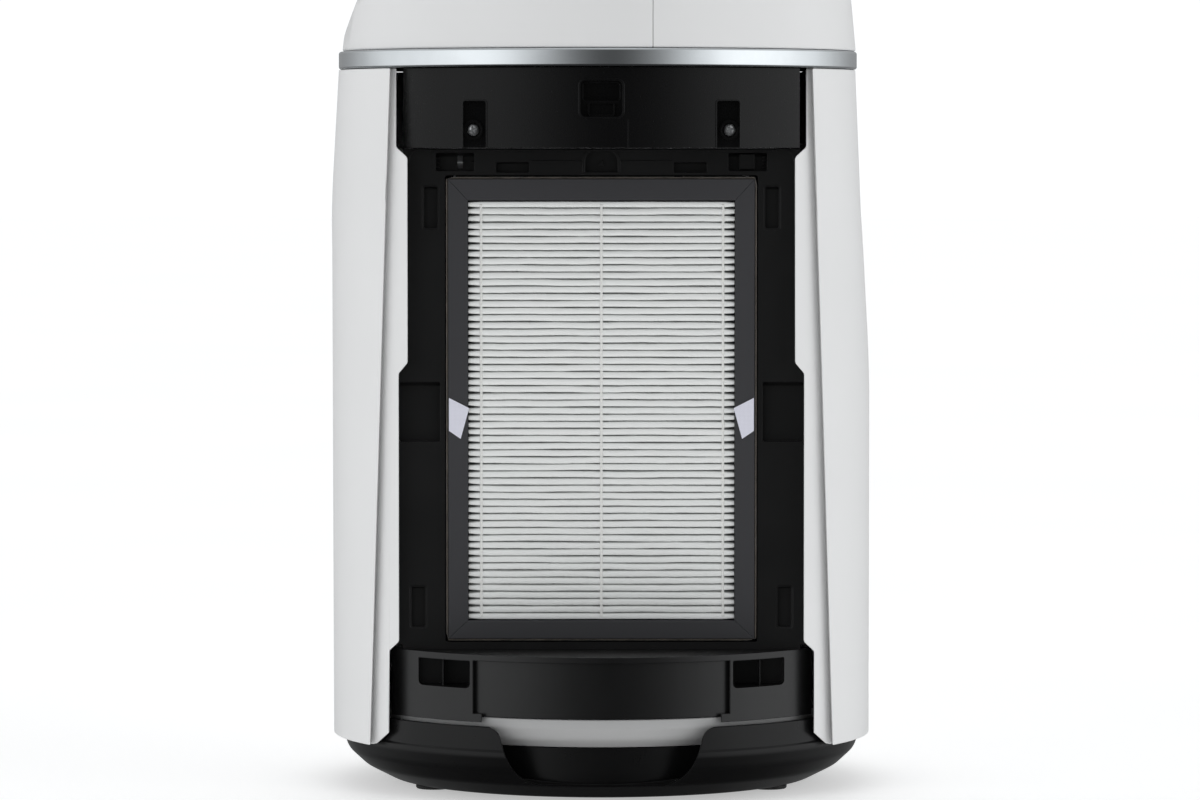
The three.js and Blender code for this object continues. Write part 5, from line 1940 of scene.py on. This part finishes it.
@dataclass
class Studio:
    """Camera, light and floor."""

    camera_at: Point3 = (-0.00095, -3.859, 0.446)
    tilt: float = 2.665
    lens: float = 165.0
    boxes: tuple[SoftBox, ...] = (
        SoftBox(-49, 8, 7.0, 1.25),
        SoftBox(61, 8, 7.0, 1.25),
        SoftBox(-98, 8, 5.0, 1.0),
        SoftBox(101, 8, 5.0, 1.05),
        SoftBox(180, 30, 2.0, 0.4),
        SoftBox(0, 86, 3.0, 0.6),
    )
    base_light: float = 0.03
    light_tint: Point3 = (0.975, 0.99, 1.0)
    room_white: float = 1.05
    floor_size: float = 30.0
    floor_squares: int = 24

    def camera(self) -> None:
        """Points the camera at the open side."""
        data = bpy.data.cameras.new("camera")
        data.lens = self.lens
        data.sensor_width = 36.0
        data.clip_end = 200.0
        made = bpy.data.objects.new("camera", data)
        bpy.context.scene.collection.objects.link(made)
        made.location = self.camera_at
        made.rotation_euler = (math.radians(90 - self.tilt), 0, 0)
        bpy.context.scene.camera = made

    def world(self) -> None:
        """Soft boxes round the object, and a white room behind it for the camera."""
        world = bpy.data.worlds.new("studio")
        world.use_nodes = True
        bpy.context.scene.world = world
        graph = Graph(world.node_tree)
        towards = graph.signal("ShaderNodeTexCoord", output="Generated")
        total: Number = self.base_light
        for box in self.boxes:
            aligned = graph.signal(
                "ShaderNodeVectorMath", {"operation": "DOT_PRODUCT"}, {0: towards, 1: box.direction()}, "Value"
            )
            clear = graph.signal("ShaderNodeMath", {"operation": "MAXIMUM"}, {0: aligned, 1: 0.0})
            total = clear**box.spread * box.strength + total
        seen = graph.signal("ShaderNodeLightPath", output="Is Camera Ray")
        strength = seen * self.room_white + (1.0 - seen) * total
        lit = graph.signal("ShaderNodeBackground", None, {"Color": self.light_tint, "Strength": strength})
        graph.node("ShaderNodeOutputWorld", None, {"Surface": lit})

    def floor(self) -> None:
        """A wide pale floor."""
        count = self.floor_squares
        bm = bmesh.new()
        bmesh.ops.create_grid(bm, x_segments=count, y_segments=count, size=self.floor_size)
        mesh = bpy.data.meshes.new("floor")
        bm.to_mesh(mesh)
        bm.free()
        mesh.materials.append(FLOOR.material())
        made = bpy.data.objects.new("floor", mesh)
        bpy.context.scene.collection.objects.link(made)
        made.visible_glossy = False

    def build(self) -> None:
        """Sets the studio up."""
        self.camera()
        self.world()
        self.floor()
        bpy.context.scene.view_settings.view_transform = "Standard"


FLOOR = FloorPaint("floor_paint", "", (0.9, 0.9, 0.9), 0.6)


# ---------------------------------------------------------------- the object


def main() -> None:
    """Builds the machine round its frame."""
    logging.basicConfig(level=logging.INFO, format="%(name)s %(message)s")
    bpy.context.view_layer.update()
    shop = Workshop()
    Base(shop).build()
    Covers(shop).build()
    for side in ("near", "far"):
        FilterSide(shop, side).build()
        FilterPack(shop, side).build()
    Inside(shop).build()
    head = Head(shop)
    head.build()
    Outlet(shop, head.shape.outlet()).build()
    Studio().build()
    LOG.info("%d pieces", len(shop.made))


if __name__ == "__main__":
    main()
